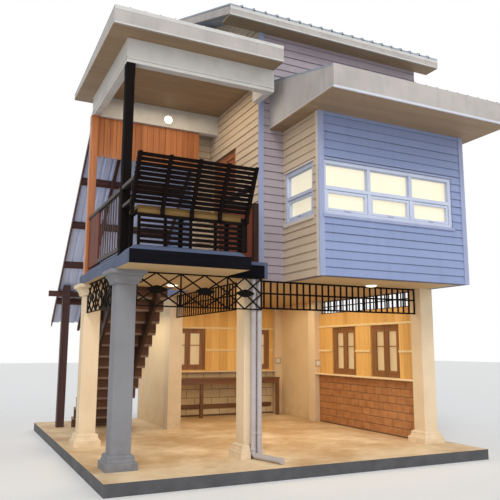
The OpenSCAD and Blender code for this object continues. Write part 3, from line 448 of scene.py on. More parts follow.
@dataclass
class Studio:
    """The camera at the photograph's angle, the plain light and the pale floor."""

    camera_at: Point = (-4.575, -9.9375, 1.65)
    yaw: float = 25.89883
    pitch: float = 9.169578
    roll: float = 0.250885
    focal_px: float = 609.75
    frame_px: float = 500.0
    suns: tuple[tuple[str, float, float, float, float], ...] = (
        ("key", 20.0, 1.25, 48.0, -28.0), ("fill", 60.0, 0.45, 70.0, 50.0), ("low", 70.0, 0.95, 88.0, -34.0),
    )
    warm_lamps: tuple[tuple[str, Point, Pair, float], ...] = (
        ("room", (3.60, 2.40, 2.62), (2.6, 4.0), 66.0), ("bay", (1.05, 0.95, 2.62), (1.3, 1.5), 13.0),
        ("foot", (1.25, 3.9, 2.30), (0.6, 1.6), 11.0), ("deck", (1.10, 0.80, 5.74), (1.6, 1.6), 20.0),
    )
    warm: Rgb = (1.0, 0.86, 0.64)
    soft_air: Rgb = (0.95, 0.97, 1.0)
    air_strength: float = 0.5
    floor_half: float = 60.0
    floor_z: float = -0.002

    def camera(self) -> None:
        """Makes the camera: right, up and back vectors from yaw, pitch and roll."""
        yaw, pitch, roll = (math.radians(v) for v in (self.yaw, self.pitch, self.roll))
        ahead = np.array([math.sin(yaw) * math.cos(pitch), math.cos(yaw) * math.cos(pitch), math.sin(pitch)])
        right = np.array([math.cos(yaw), -math.sin(yaw), 0.0])
        up = np.cross(right, ahead)
        right_r = right * math.cos(roll) + up * math.sin(roll)
        up_r = -right * math.sin(roll) + up * math.cos(roll)
        data = bpy.data.cameras.new("view")
        data.sensor_width = 36.0
        data.lens = self.focal_px / self.frame_px * data.sensor_width
        data.clip_start, data.clip_end = 0.1, 400.0
        cam = bpy.data.objects.new("view", data)
        bpy.context.scene.collection.objects.link(cam)
        turn = np.eye(4)
        turn[:3, 0], turn[:3, 1], turn[:3, 2] = right_r, up_r, -ahead
        turn[:3, 3] = self.camera_at
        cam.matrix_world = Matrix(turn.tolist())
        bpy.context.scene.camera = cam

    def light(self) -> None:
        """Adds the suns by angle, strength, tilt and turn, and the warm lamps by place, size and power."""
        for name, angle, strength, tilt, turn in self.suns:
            data = bpy.data.lights.new(name, "SUN")
            data.energy, data.angle = strength, math.radians(angle)
            lamp = bpy.data.objects.new(name, data)
            lamp.rotation_euler = (math.radians(tilt), 0.0, math.radians(turn))
            bpy.context.scene.collection.objects.link(lamp)
        for name, at, size, power in self.warm_lamps:
            data = bpy.data.lights.new(name, "AREA")
            data.shape, (data.size, data.size_y) = "RECTANGLE", size
            data.energy, data.color = power, self.warm
            lamp = bpy.data.objects.new(name, data)
            lamp.location = np.array(at) + ORIGIN
            lamp.visible_camera = lamp.visible_glossy = False
            bpy.context.scene.collection.objects.link(lamp)

    def air(self) -> None:
        """Makes the world: soft pale light, and plain white for camera, glossy and transmitted rays."""
        world = bpy.data.worlds.new("air")
        bpy.context.scene.world = world
        world.use_nodes = True
        nodes, links = world.node_tree.nodes, world.node_tree.links
        nodes.clear()
        path = nodes.new("ShaderNodeLightPath")
        seen = path.outputs["Is Camera Ray"]
        for ray in ("Is Glossy Ray", "Is Transmission Ray"):
            either = nodes.new("ShaderNodeMath")
            either.operation = "MAXIMUM"
            links.new(seen, either.inputs[0])
            links.new(path.outputs[ray], either.inputs[1])
            seen = either.outputs[0]
        mixed, out = nodes.new("ShaderNodeMixShader"), nodes.new("ShaderNodeOutputWorld")
        links.new(seen, mixed.inputs[0])
        for slot, colour, strength in ((1, self.soft_air, self.air_strength), (2, (1.0, 1.0, 1.0), 1.0)):
            sky = nodes.new("ShaderNodeBackground")
            sky.inputs["Color"].default_value = (*colour, 1.0)
            sky.inputs["Strength"].default_value = strength
            links.new(sky.outputs[0], mixed.inputs[slot])
        links.new(mixed.outputs[0], out.inputs["Surface"])

    def floor(self) -> None:
        """Lays the pale floor that catches the shadow."""
        a, z = self.floor_half, self.floor_z
        shape = Shape().add(np.array([[-a, -a, z], [a, -a, z], [a, a, z], [-a, a, z]]), [[0, 1, 2, 3]])
        material = Tree("pale floor").finish(Base_Color=(0.86, 0.86, 0.85), Roughness=0.9)
        make_object("studio_floor", shape, material)


# Finishes


@dataclass(frozen=True)
class CementRender:
    """Painted cement render: cloudy tone, faint trowel marks, and splashed dirt near the ground."""

    name: str
    colour: Rgb
    stain: Rgb
    soiled_to: float = 0.0
    relief: float = 0.0012
    rough: float = 0.82

    def material(self) -> bpy.types.Material:
        """Tone is colour moved towards stain by clouds, fine grain and height."""
        t = Tree(self.name)
        cloud, fine = t.noise(1.4, 4.0), t.noise(42.0, 3.0)
        amount = cloud.ramp(0.44, 0.78) * 0.5 + fine.ramp(0.45, 0.8) * 0.2
        if self.soiled_to:
            low = 1.0 - t.along(Axis.Z).ramp(0.15, self.soiled_to)
            amount = amount + low * t.noise(7.0, 4.0).ramp(0.35, 0.7) * 0.7
        rough = (self.rough + (fine - 0.5) * 0.12).clamped()
        return t.finish(
            Base_Color=t.mix(amount.clamped(), self.colour, self.stain), Roughness=rough,
            Normal=t.bump(fine * 0.5 + cloud * 0.5, self.relief),
        )


@dataclass(frozen=True)
class BrickClay:
    """Fired clay with a tone of its own for each course, and a sanded face."""

    name: str
    colour: Rgb
    burnt: Rgb
    course: float

    def material(self) -> bpy.types.Material:
        """A brick's tone comes from coarse noise along the wall and from its course's number."""
        t = Tree(self.name)
        number = (t.along(Axis.Z) / self.course).floor()
        patch, fine = t.noise(1.0, 2.0, 0.5, (5, 5, 8)), t.noise(70.0, 3.0)
        amount = patch.ramp(0.35, 0.68) * 0.6 + t.per_board(number + 0.5) * 0.25 + fine.ramp(0.45, 0.8) * 0.2
        return t.finish(
            Base_Color=t.mix(amount.clamped(), self.colour, self.burnt), Roughness=0.75 + fine * 0.15,
            Normal=t.bump(fine, 0.0015),
        )


@dataclass(frozen=True)
class FloorConcrete:
    """Trowelled floor with worn pale patches on top, and a darker upright edge whose colour is painted shade.
    """

    name: str
    colour: Rgb
    worn: Rgb
    edge: Rgb
    shaded_edge_below: float

    def material(self) -> bpy.types.Material:
        """Tone is a mix by clouds; below the given height the edge's painted shade takes over."""
        t = Tree(self.name)
        cloud, small, fine = t.noise(0.75, 5.0, 0.6), t.noise(5.0, 4.0), t.noise(60.0, 2.0)
        amount = cloud.ramp(0.42, 0.60) * 0.8 + small.ramp(0.45, 0.70) * 0.3
        top = t.mix(amount.clamped(), self.colour, self.worn)
        # Painted shade on the upright edge: its dark colour, mottled towards half of it
        edge = t.mix(small.ramp(0.35, 0.75) * 0.6, self.edge, tuple(c * 0.5 for c in self.edge))
        side = t.along(Axis.Z) < self.shaded_edge_below
        return t.finish(
            Base_Color=t.mix(side, top, edge), Roughness=0.5 + small * 0.35,
            Normal=t.bump(fine * 0.3 + small * 0.7, 0.0015),
        )


@dataclass(frozen=True)
class PaintedPlate:
    """Smooth paint over two faces: one colour for the underside, another for the rest. On the balcony floor
    both are painted light: warm lamplight underneath and shade above.
    """

    name: str
    colour: Rgb
    under: Rgb
    under_below: float

    def material(self) -> bpy.types.Material:
        """Below the given height the underside's colour takes over; clouds weather both."""
        t = Tree(self.name)
        cloud, streak, fine = t.noise(2.2, 4.0), t.noise(1.0, 4.0, 0.6, (9, 9, 1.2)), t.noise(55.0, 2.0)
        amount = cloud.ramp(0.4, 0.75) * 0.5 + streak.ramp(0.5, 0.8) * 0.4
        upper = t.mix(amount.clamped(), self.colour, tuple(c * 0.62 for c in self.colour))
        lower = t.mix(cloud.ramp(0.45, 0.8) * 0.4, self.under, tuple(c * 0.78 for c in self.under))
        # Below this height the underside's colour: on the balcony floor, painted warm lamplight; above it,
        # painted shade
        side = t.along(Axis.Z) < self.under_below
        return t.finish(
            Base_Color=t.mix(side, upper, lower), Roughness=0.62 + cloud * 0.25, Normal=t.bump(fine, 0.001),
        )


@dataclass(frozen=True)
class Timber:
    """Wood with grain along one axis, and a tone of its own for each board."""

    name: str
    light: Rgb
    dark: Rgb
    grain: Axis
    across: Axis = Axis.Z
    board: float = 0.0
    rough: float = 0.5
    coat: float = 0.0
    spread: float = 0.45
    shine: float = 0.5

    def material(self) -> bpy.types.Material:
        """Grain is noise stretched along the board; a board's tone comes from its number."""
        t = Tree(self.name)
        fine, wide = [34.0] * 3, [7.0] * 3
        fine[self.grain.value], wide[self.grain.value] = 1.8, 0.55
        grain, bands = t.noise(1.0, 5.0, 0.62, fine), t.noise(1.0, 3.0, 0.5, wide)
        amount = grain.ramp(0.34, 0.7) * 0.55 + bands.ramp(0.35, 0.7) * 0.35
        if self.board:
            number = (t.along(self.across) / self.board).floor()
            amount = amount + (t.per_board(number + 0.5) - 0.5) * self.spread
        worn = t.noise(3.0, 4.0).ramp(0.55, 0.8)
        return t.finish(
            Base_Color=t.mix(amount.clamped(), self.light, self.dark),
            Roughness=(self.rough + (grain - 0.5) * 0.2 + worn * 0.15).clamped(),
            Coat_Weight=self.coat, Coat_Roughness=0.25, Specular_IOR_Level=self.shine,
            Normal=t.bump(grain * 0.8 + bands * 0.2, 0.0012),
        )


@dataclass(frozen=True)
class BoardPaint:
    """Paint on lapped boards: a slight tone for each board, a dark line at each lap that is painted shadow
    under the lip, and faint runs.
    """

    name: str
    colour: Rgb
    shade: Rgb
    # Colour of the painted shadow line along each board's lip
    joint: Rgb

    def material(self) -> bpy.types.Material:
        """A board's number is its height over the exposure; the painted lip shadow lies at the start of each
        step.
        """
        t = Tree(self.name)
        rise = t.along(Axis.Z) - FIRST_JOINT
        number = (rise / EXPOSURE).floor()
        runs, grain = t.noise(1.0, 4.0, 0.6, (14, 14, 0.9)), t.noise(1.0, 4.0, 0.6, (1.5, 1.5, 60))
        cloud = t.noise(0.9, 3.0)
        amount = t.per_board(number + 0.5) * 0.28 + runs.ramp(0.5, 0.8) * 0.3 + cloud.ramp(0.4, 0.75) * 0.35
        face = t.mix(amount.clamped(), self.colour, self.shade)
        # Painted shadow: a 7 mm strip at the foot of each board, along its lip
        gap = (rise % EXPOSURE) < 0.007
        return t.finish(
            Base_Color=t.mix(gap * 0.8, face, self.joint), Roughness=0.42 + runs * 0.25,
            Normal=t.bump(grain, 0.0006),
        )


@dataclass(frozen=True)
class PlainPaint:
    """Brushed paint on joinery, with faint brush marks and dust in the clouds."""

    name: str
    colour: Rgb
    shade: Rgb
    rough: float = 0.38

    def material(self) -> bpy.types.Material:
        """Tone moves towards shade by clouds; brush marks are noise stretched two ways."""
        t = Tree(self.name)
        cloud, brush = t.noise(3.5, 4.0), t.noise(1.0, 3.0, 0.5, (60, 6, 60))
        return t.finish(
            Base_Color=t.mix((cloud.ramp(0.42, 0.8) * 0.55).clamped(), self.colour, self.shade),
            Roughness=self.rough + cloud * 0.15, Normal=t.bump(brush, 0.0004),
        )


@dataclass(frozen=True)
class DarkSteel:
    """Nearly black paint on steel with a brown bloom of rust."""

    name: str
    paint: Rgb = (0.007, 0.005, 0.004)
    rust: Rgb = (0.035, 0.014, 0.008)

    def material(self) -> bpy.types.Material:
        """Rust shows where two noises are both high."""
        t = Tree(self.name)
        bloom = t.noise(9.0, 5.0, 0.65).ramp(0.5, 0.72) * t.noise(2.0, 2.0).ramp(0.3, 0.7)
        return t.finish(
            Base_Color=t.mix(bloom, self.paint, self.rust), Roughness=0.7 + bloom * 0.25, Metallic=0.0,
            Specular_IOR_Level=0.08, Normal=t.bump(t.noise(120.0, 2.0), 0.0004),
        )


@dataclass(frozen=True)
class SheetPaint:
    """Painted ribbed sheet, with dust that has run down its slope along y."""

    name: str
    colour: Rgb
    dust: Rgb
    rough: float = 0.38

    def material(self) -> bpy.types.Material:
        """Dust is noise stretched down the slope, over soft clouds."""
        t = Tree(self.name)
        runs, cloud = t.noise(1.0, 4.0, 0.6, (16, 0.9, 0.9)), t.noise(1.1, 4.0)
        amount = runs.ramp(0.45, 0.8) * 0.5 + cloud.ramp(0.42, 0.78) * 0.45
        return t.finish(
            Base_Color=t.mix(amount.clamped(), self.colour, self.dust), Roughness=self.rough + cloud * 0.3,
            Metallic=0.0, Normal=t.bump(cloud, 0.0008),
        )


@dataclass(frozen=True)
class LitGlass:
    """A pane with a warm room behind it: it glows softly and stays glossy."""

    name: str
    glow: Rgb
    dim: Rgb
    strength: float = 0.55
    body: Rgb = (0.34, 0.30, 0.22)

    def material(self) -> bpy.types.Material:
        """The glow is dimmer in broad soft patches."""
        t = Tree(self.name)
        patch = t.noise(1.1, 2.0).ramp(0.35, 0.75)
        glow = t.mix(patch * 0.6, self.glow, self.dim)
        return t.finish(
            Base_Color=self.body, Emission_Color=glow, Emission_Strength=self.strength,
            Roughness=0.08 + patch * 0.06, Coat_Weight=0.5, Coat_Roughness=0.05,
        )


@dataclass(frozen=True)
class Plastic:
    """Smooth moulded plastic with a little dust."""

    name: str
    colour: Rgb
    dust: Rgb
    glow: float = 0.0

    def material(self) -> bpy.types.Material:
        """Tone moves towards dust by clouds."""
        t = Tree(self.name)
        cloud = t.noise(6.0, 4.0)
        colour = t.mix(cloud.ramp(0.45, 0.8) * 0.5, self.colour, self.dust)
        return t.finish(
            Base_Color=colour, Roughness=0.28 + cloud * 0.25, Normal=t.bump(t.noise(90.0, 2.0), 0.0002),
            Emission_Color=colour, Emission_Strength=self.glow,
        )


# Local frames


class Side(Enum):
    """Which way a wall faces: the direction to its right as seen from outside, and its outward one."""

    FRONT = ((1, 0, 0), (0, -1, 0))
    BACK = ((-1, 0, 0), (0, 1, 0))
    LEFT = ((0, -1, 0), (-1, 0, 0))
    RIGHT = ((0, 1, 0), (1, 0, 0))


@dataclass(frozen=True)
class Face:
    """A wall's outer plane. Shapes for it are made with x to the right, y up and z outwards."""

    side: Side
    at: float

    def put(self, shape: Shape) -> Shape:
        """Turns a shape from the wall's own axes to the house's."""
        right, normal = self.side.value
        turn = np.column_stack([right, (0, 0, 1), normal])
        return shape.moved(turn, np.abs(normal) * self.at)

    def span(self, low: float, high: float) -> Pair:
        """A stretch along the house's own axis, as numbers to the right along the wall."""
        sign = 1 if self.side in (Side.FRONT, Side.RIGHT) else -1
        return (low, high) if sign > 0 else (-high, -low)


@dataclass(frozen=True)
class Hole:
    """An opening in a wall, in the wall's own axes."""

    left: float
    right: float
    low: float
    high: float


def plate(low: Sequence[float], high: Sequence[float], round_by: float = 0.003) -> Shape:
    """A flat board whose four edges round its face are eased, its face towards the third axis.

    Rings of the board's outline lie at the back, at the front less the rounding, and at the front
    drawn in by the rounding.
    """
    (x0, y0, z0), (x1, y1, z1) = low, high
    rows = [(0.0, z0), (0.0, z1 - round_by), (-round_by, z1)]
    return square_shaft(np.array(rows), (x0, y0), (x1, y1))


def lapped_boards(low: float, high: float, left: Callable[[float], float], right: Callable[[float], float],
                  holes: Sequence[Hole], lip: float = 0.014, thin: float = 0.003) -> Shape:
    """Lapped boards over a wall: each is thin at its top and stands out by the lip at its bottom.

    A board's outward face at height h above its lower edge is lip - (lip - thin) h / EXPOSURE. Boards
    are cut at the wall's edges, which may slope, and round its openings.

    Args:
        low: where the boards start.
        high: where they end.
        left: the wall's left limit at a height.
        right: its right limit at a height.
        holes: the openings, in the wall's own axes.
        lip: how far a board's lower edge stands out.
        thin: how far its upper edge stands out.

    Returns:
        The closed shapes of all the boards.
    """
    made = Shape()
    number = math.floor((low - FIRST_JOINT) / EXPOSURE + 1e-6)
    while FIRST_JOINT + number * EXPOSURE < high - 1e-4:
        base = FIRST_JOINT + number * EXPOSURE
        z_low, z_high = max(base, low), min(base + EXPOSURE, high)
        edges = {z for h in holes for z in (h.low, h.high) if z_low < z < z_high}
        cuts = sorted({z_low, z_high} | edges)
        for z0, z1 in zip(cuts[:-1], cuts[1:]):
            mid = (z0 + z1) / 2
            gone = [(h.left, h.right) for h in holes if h.low < mid < h.high]
            c0, c1 = (lip - (lip - thin) * (z - base) / EXPOSURE for z in (z0, z1))
            for a, b in split_round((left(mid), right(mid)), gone):
                a0, a1 = (left(z0), left(z1)) if a == left(mid) else (a, a)
                b0, b1 = (right(z0), right(z1)) if b == right(mid) else (b, b)
                if min(b0 - a0, b1 - a1) < 0.002:
                    continue
                outer = np.array([[[a0, z0, c0], [a1, z1, c1]], [[b0, z0, c0], [b1, z1, c1]]])
                inner = outer * [1, 1, 0]
                made.join(thick_surface(outer, inner))
        number += 1
    return made


def frame_ring(hole: Hole, width: float, back: float, front: float, round_by: float = 0.004) -> Shape:
    """Four bars round an opening: the two upright ones run through, the others stand between them.

    Args:
        hole: the outline that the bars' outer edges lie on.
        width: width of a bar.
        back: where the bars start outwards.
        front: where they end outwards.
        round_by: how far their long edges are cut back.

    Returns:
        The closed shapes.
    """
    a, b, c, d = hole.left, hole.right, hole.low, hole.high
    made = Shape()
    for x in (a, b - width):
        made.join(bar((x, c, back), (x + width, d, front), Axis.Y, round_by))
    for y in (c, d - width):
        made.join(bar((a + width, y, back), (b - width, y + width, front), Axis.X, round_by))
    return made


# The house


@dataclass(frozen=True)
class Plan:
    """The house's main lengths in metres, as the model has them."""

    column_w: float = 0.26
    column_x: float = -0.025
    column_step: float = 0.12
    mid_x: float = 1.85
    house_x: float = 5.35
    right_x: float = 5.09
    rear_y: float = 1.98
    third_y: float = 3.32
    house_depth: float = 5.36
    slab: float = 0.15
    soffit: float = 2.65
    deck: float = 2.89
    header: float = 5.45
    deck_top: float = 5.80
    box_top: float = 5.05
    room_top: float = 6.65
    deck_wall_x: float = 2.20
    box_x: float = 2.63
    box_y: float = -0.81
    front_wall_y: float = 0.23
    bay_x0: float = -0.07
    bay_x1: float = 1.52
    bay_y: float = -0.85
    deck_edge_y: float = -0.05
    deck_back_y: float = 2.24
    window_z: float = 3.53
    window_h: float = 0.80
    door_y: Pair = (1.10, 2.10)
    door_top: float = 4.99
    roof_base: float = 6.80
    roof_mid_y: float = 2.795
    roof_half: float = 2.865
    roof_slope: float = math.tan(math.radians(22.0))

    def roof_z(self, y: float) -> float:
        """Height of the main roof's underside over a place y."""
        return self.roof_base + (self.roof_half - abs(y - self.roof_mid_y)) * self.roof_slope

    def roof_reach(self, z: float) -> float:
        """How far from the ridge line the roof's underside is at a height."""
        return self.roof_half - (z - self.roof_base) / self.roof_slope


PLAN = Plan()


class Workshop:
    """Keeps one material for each finish, makes pieces and dresses the model's own nodes."""

    def __init__(self) -> None:
        """Starts with no materials made."""
        self.made: dict[str, bpy.types.Material] = {}

    def material(self, finish: "Finish") -> bpy.types.Material:
        """The material of a finish, made at its first use."""
        if finish.name not in self.made:
            self.made[finish.name] = finish.material()
        return self.made[finish.name]

    def piece(self, name: str, shape: Shape, finish: "Finish", slot: str, *nodes: str,
              smooth: bool = False) -> None:
        """Makes a piece that rides on the house.

        Args:
            name: the piece's name.
            shape: its corners and faces, in plan metres.
            finish: its finish.
            slot: the record's slot of the piece; not used.
            nodes: the model's nodes that it stands for.
            smooth: whether its faces are shaded smooth.
        """
        made = make_object(name, shape.moved(np.eye(3), ORIGIN), self.material(finish), smooth)
        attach(made, "root")
        if nodes:
            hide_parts(*nodes)
        log.info("%s: %d corners, %d faces", name, len(made.data.vertices), len(made.data.polygons))

    def dress(self, finish: "Finish", *nodes: str) -> None:
        """Gives a finish to nodes of the model that keep their own shape."""
        for node in nodes:
            own = frame["nodes"][node]
            if not own.material_slots:
                own.data.materials.append(None)
            for place in own.material_slots:
                place.material = self.material(finish)
            log.info("%s: dressed in %s", node, finish.name)


Finish = Union[CementRender, BrickClay, FloorConcrete, PaintedPlate, Timber, BoardPaint, PlainPaint,
               DarkSteel, SheetPaint, LitGlass, Plastic]

# Ground slab: the dark bluish grey of its upright edge is painted shade
SLAB = FloorConcrete("slab_concrete", (0.50, 0.32, 0.155), (0.76, 0.60, 0.39), (0.075, 0.075, 0.082), 0.1495)
# One pale render in two copies: the dark grey one is painted shade, the warm cream one painted warm lamplight
COLUMN_SHADED = CementRender("column_render", (0.235, 0.235, 0.25), (0.155, 0.155, 0.165), 0.9)
COLUMN_WARM_LIT = CementRender("column_render_warm_lit", (0.78, 0.62, 0.42), (0.58, 0.44, 0.28), 0.6)
PLASTER = CementRender("wall_plaster", (0.84, 0.66, 0.41), (0.66, 0.47, 0.26), 0.6)
BRICK = BrickClay("brick", (0.50, 0.235, 0.09), (0.34, 0.14, 0.05), 0.137)
MASONRY = CementRender("masonry", (0.74, 0.60, 0.38), (0.50, 0.38, 0.22), 0.5, 0.0025)
AMBER = Timber("amber_boards", (0.88, 0.56, 0.19), (0.62, 0.35, 0.09), Axis.Z, Axis.X, 0.205, 0.42, 0.15, 0.5)
# The side wall's boards: a copy of the back wall's, painted a little darker as shade
AMBER_SIDE_SHADED = Timber("amber_boards_side_shaded", (0.84, 0.52, 0.175), (0.58, 0.32, 0.085), Axis.Z, Axis.Y, 0.205,
                    0.42, 0.15, 0.5)
BROWN_X = Timber("brown_timber", (0.22, 0.095, 0.042), (0.075, 0.032, 0.015), Axis.X, rough=0.4, coat=0.2)
BROWN_Z = Timber("brown_upright", (0.32, 0.145, 0.052), (0.13, 0.055, 0.021), Axis.Z, rough=0.4, coat=0.2)
TREAD = Timber("stair_tread", (0.34, 0.215, 0.145), (0.15, 0.088, 0.056), Axis.X, rough=0.45, coat=0.1)
STRING = Timber("stair_string", (0.045, 0.020, 0.012), (0.018, 0.009, 0.006), Axis.Y, rough=0.5, shine=0.35)
RISER = Timber("stair_riser", (0.145, 0.062, 0.028), (0.066, 0.029, 0.016), Axis.X, rough=0.55, shine=0.35)
DARK_X = Timber("dark_slat", (0.010, 0.006, 0.005), (0.004, 0.003, 0.003), Axis.X, rough=0.8, shine=0.06)
DARK_Y = Timber("dark_rail", (0.040, 0.026, 0.022), (0.014, 0.009, 0.008), Axis.Y, rough=0.5, shine=0.25)
DARK_Z = Timber("dark_post", (0.010, 0.007, 0.006), (0.004, 0.003, 0.003), Axis.Z, rough=0.8, shine=0.06)
SEAT = Timber("bench_seat", (0.225, 0.135, 0.045), (0.115, 0.064, 0.02), Axis.X, Axis.Y, 0.09, 0.6,
              shine=0.12)
RED_Z = Timber("red_upright", (0.165, 0.036, 0.014), (0.055, 0.012, 0.006), Axis.Z, Axis.Y, 0.125, 0.55,
               shine=0.2)
RED_PLANK = Timber("red_plank", (0.165, 0.036, 0.014), (0.055, 0.012, 0.006), Axis.Z, Axis.X, 0.125, 0.55,
                   shine=0.2)
ORANGE_Z = Timber("orange_upright", (0.54, 0.195, 0.062), (0.30, 0.092, 0.027), Axis.Z, Axis.X, 0.103, 0.42,
                  0.15, 0.55)
DOOR = Timber("deck_door", (0.42, 0.145, 0.052), (0.20, 0.064, 0.024), Axis.Z, rough=0.4, coat=0.2)
STEEL = DarkSteel("dark_steel")
# Balcony floor: the dark blue of its edge and top is painted shade, the orange-brown under it painted warm
# lamplight
DECK_LAMPLIT_AND_SHADED = PaintedPlate("floor_concrete", (0.078, 0.102, 0.175), (0.52, 0.365, 0.185), 2.6505)
EDGE = Timber("edge_board", (0.008, 0.008, 0.011), (0.003, 0.003, 0.005), Axis.X, rough=0.85, shine=0.05)
BEAM = PlainPaint("beam_paint", (0.62, 0.60, 0.57), (0.42, 0.40, 0.37))
NEWEL = Timber("dark_newel", (0.045, 0.018, 0.012), (0.018, 0.008, 0.006), Axis.Z, rough=0.6, shine=0.15)
BALUSTER = Timber("baluster", (0.10, 0.062, 0.055), (0.035, 0.020, 0.018), Axis.Z, rough=0.55, shine=0.2)
RAIL = Timber("pale_rail", (0.90, 0.74, 0.42), (0.70, 0.52, 0.26), Axis.X, rough=0.45)
JOINT = CementRender("mortar", (0.16, 0.10, 0.055), (0.10, 0.065, 0.035), 0.5, 0.002)
# White-painted siding and corner boards in lit and shaded copies: the blue ones are painted sky shade, the
# warm ones painted warm light, the half-lit one between the two
SIDING_SHADED = BoardPaint("white_siding", (0.265, 0.325, 0.535), (0.200, 0.250, 0.430), (0.022, 0.028, 0.060))
SIDING_HALF_LIT = BoardPaint("siding_half_lit", (0.39, 0.335, 0.37), (0.30, 0.25, 0.285), (0.06, 0.045, 0.05))
SIDING_WARM_LIT = BoardPaint("white_siding_warm_lit", (0.66, 0.525, 0.385), (0.52, 0.40, 0.28), (0.15, 0.095, 0.06))
CORNER_SHADED = PlainPaint("corner_board", (0.315, 0.355, 0.53), (0.245, 0.28, 0.43))
CORNER_WARM_LIT = PlainPaint("corner_board_warm_lit", (0.70, 0.63, 0.54), (0.54, 0.47, 0.39))
JOINERY = PlainPaint("white_joinery", (0.54, 0.59, 0.73), (0.42, 0.46, 0.59), 0.3)
GLASS = LitGlass("lit_glass", (1.0, 0.94, 0.72), (0.96, 0.85, 0.58), 0.68)
CASEMENT_GLASS = LitGlass("casement_glass", (1.0, 0.72, 0.36), (0.80, 0.50, 0.22), 0.46, (0.30, 0.21, 0.12))
ROOF = SheetPaint("roof_metal", (0.30, 0.345, 0.40), (0.21, 0.22, 0.235))
# White sheet given a strong blue tint: painted sky light on its shaded underside
CANOPY_SKY_TINTED = SheetPaint("canopy_metal", (0.64, 0.73, 1.0), (0.52, 0.60, 0.87))
PURLIN = Timber("canopy_timber", (0.10, 0.042, 0.036), (0.036, 0.015, 0.014), Axis.X, rough=0.5, shine=0.3)
CANOPY_POST = Timber("canopy_post", (0.075, 0.034, 0.030), (0.026, 0.012, 0.011), Axis.Z, rough=0.5,
                     shine=0.3)
SOFFIT = Timber("soffit_board", (0.36, 0.245, 0.14), (0.235, 0.155, 0.085), Axis.X, Axis.Y, 0.15, 0.6, 0.0,
                0.3)
FASCIA = PaintedPlate("roof_fascia", (0.50, 0.46, 0.43), (0.66, 0.68, 0.76), 5.078)
# White plastic pipes painted a dim grey: painted shade
PIPE_SHADED = Plastic("white_pipe", (0.46, 0.415, 0.41), (0.34, 0.30, 0.285))
LAMP = Plastic("lamp", (1.0, 0.93, 0.74), (1.0, 0.88, 0.64), 2.6)
PLATE_RIM = Plastic("switch_rim", (0.30, 0.18, 0.09), (0.20, 0.12, 0.06))
LAMP_RIM = Plastic("lamp_rim", (0.78, 0.75, 0.69), (0.62, 0.58, 0.52))


@dataclass
class Columns:
    """The rendered columns: moulded plinths under them, and stepped capitals under the balcony."""

    shop: Workshop
    width: float = PLAN.column_w
    notch_in: float = 0.077
    plinth: tuple[Pair, ...] = (
        (0.075, 0.0), (0.075, 0.085), (0.066, 0.095), (0.050, 0.098), (0.047, 0.115), (0.040, 0.130),
        (0.0375, 0.135), (0.0375, 0.165), (0.030, 0.178), (0.014, 0.186), (-0.002, 0.190),
    )
    capital: tuple[Pair, ...] = (
        (-0.002, -0.182), (0.018, -0.180), (0.030, -0.172), (0.036, -0.160), (0.036, -0.140), (0.041, -0.138),
        (0.046, -0.118), (0.058, -0.098), (0.073, -0.086), (0.073, -0.066), (0.078, -0.062), (0.096, -0.058),
        (0.110, -0.048), (0.110, 0.0),
    )

    def shaft(self, x: float, y: float) -> Shape:
        """A plain shaft from the slab to the soffit with eased arrises."""
        return bar((x, y, PLAN.slab), (x + self.width, y + self.width, PLAN.soffit), Axis.Z, 0.006)

    def moulded(self, rows: Sequence[Pair], low: Sequence[float], high: Sequence[float], z: float) -> Shape:
        """A moulding of reach and height rows round a rectangle, measured from height z."""
        return square_shaft(np.array(rows) + [0.0, z], low, high)

    def notched_plinth(self) -> Shape:
        """The middle column's plinth, whose right front corner is left out for the rain pipes."""
        x0, x1, notch = PLAN.mid_x, PLAN.mid_x + self.width, PLAN.mid_x + self.notch_in
        rings = []
        for out, up in self.plinth:
            front, inner = -out, max(-out, 0.0)
            plan = [(x0 - out, front), (notch, front), (notch, inner), (x1 + out, inner),
                    (x1 + out, self.width + out), (x0 - out, self.width + out)]
            rings.append([(px, py, PLAN.slab + up) for px, py in plan])
        return Shape().add(np.array(rings), ring_faces(len(rings), 6))

    def build(self) -> None:
        """Makes the four visible columns and dresses the rear ones."""
        w, slab, soffit = self.width, PLAN.slab, PLAN.soffit
        left = (("front_left_column", -PLAN.column_step, COLUMN_SHADED),
                ("rear_left_column", PLAN.rear_y, COLUMN_WARM_LIT))
        for name, y, finish in left:
            low, high = (PLAN.column_x, y), (PLAN.column_x + w, y + w)
            made = self.shaft(*low).join(self.moulded(self.plinth, low, high, slab))
            made.join(self.moulded(self.capital, low, high, soffit))
            self.shop.piece(name, made, finish, "column_render", "balcony_columns")
        right = Shape()
        x = PLAN.mid_x
        right.join(self.shaft(x, 0.0)).join(self.shaft(PLAN.right_x, 0.0))
        right.join(self.moulded(self.plinth, (PLAN.right_x, 0.0), (PLAN.right_x + w, w), slab))
        right.join(self.notched_plinth())
        self.shop.piece("front_column_pair", right, COLUMN_WARM_LIT, "column_render", "front_columns")
        self.shop.dress(COLUMN_WARM_LIT, "rear_columns")


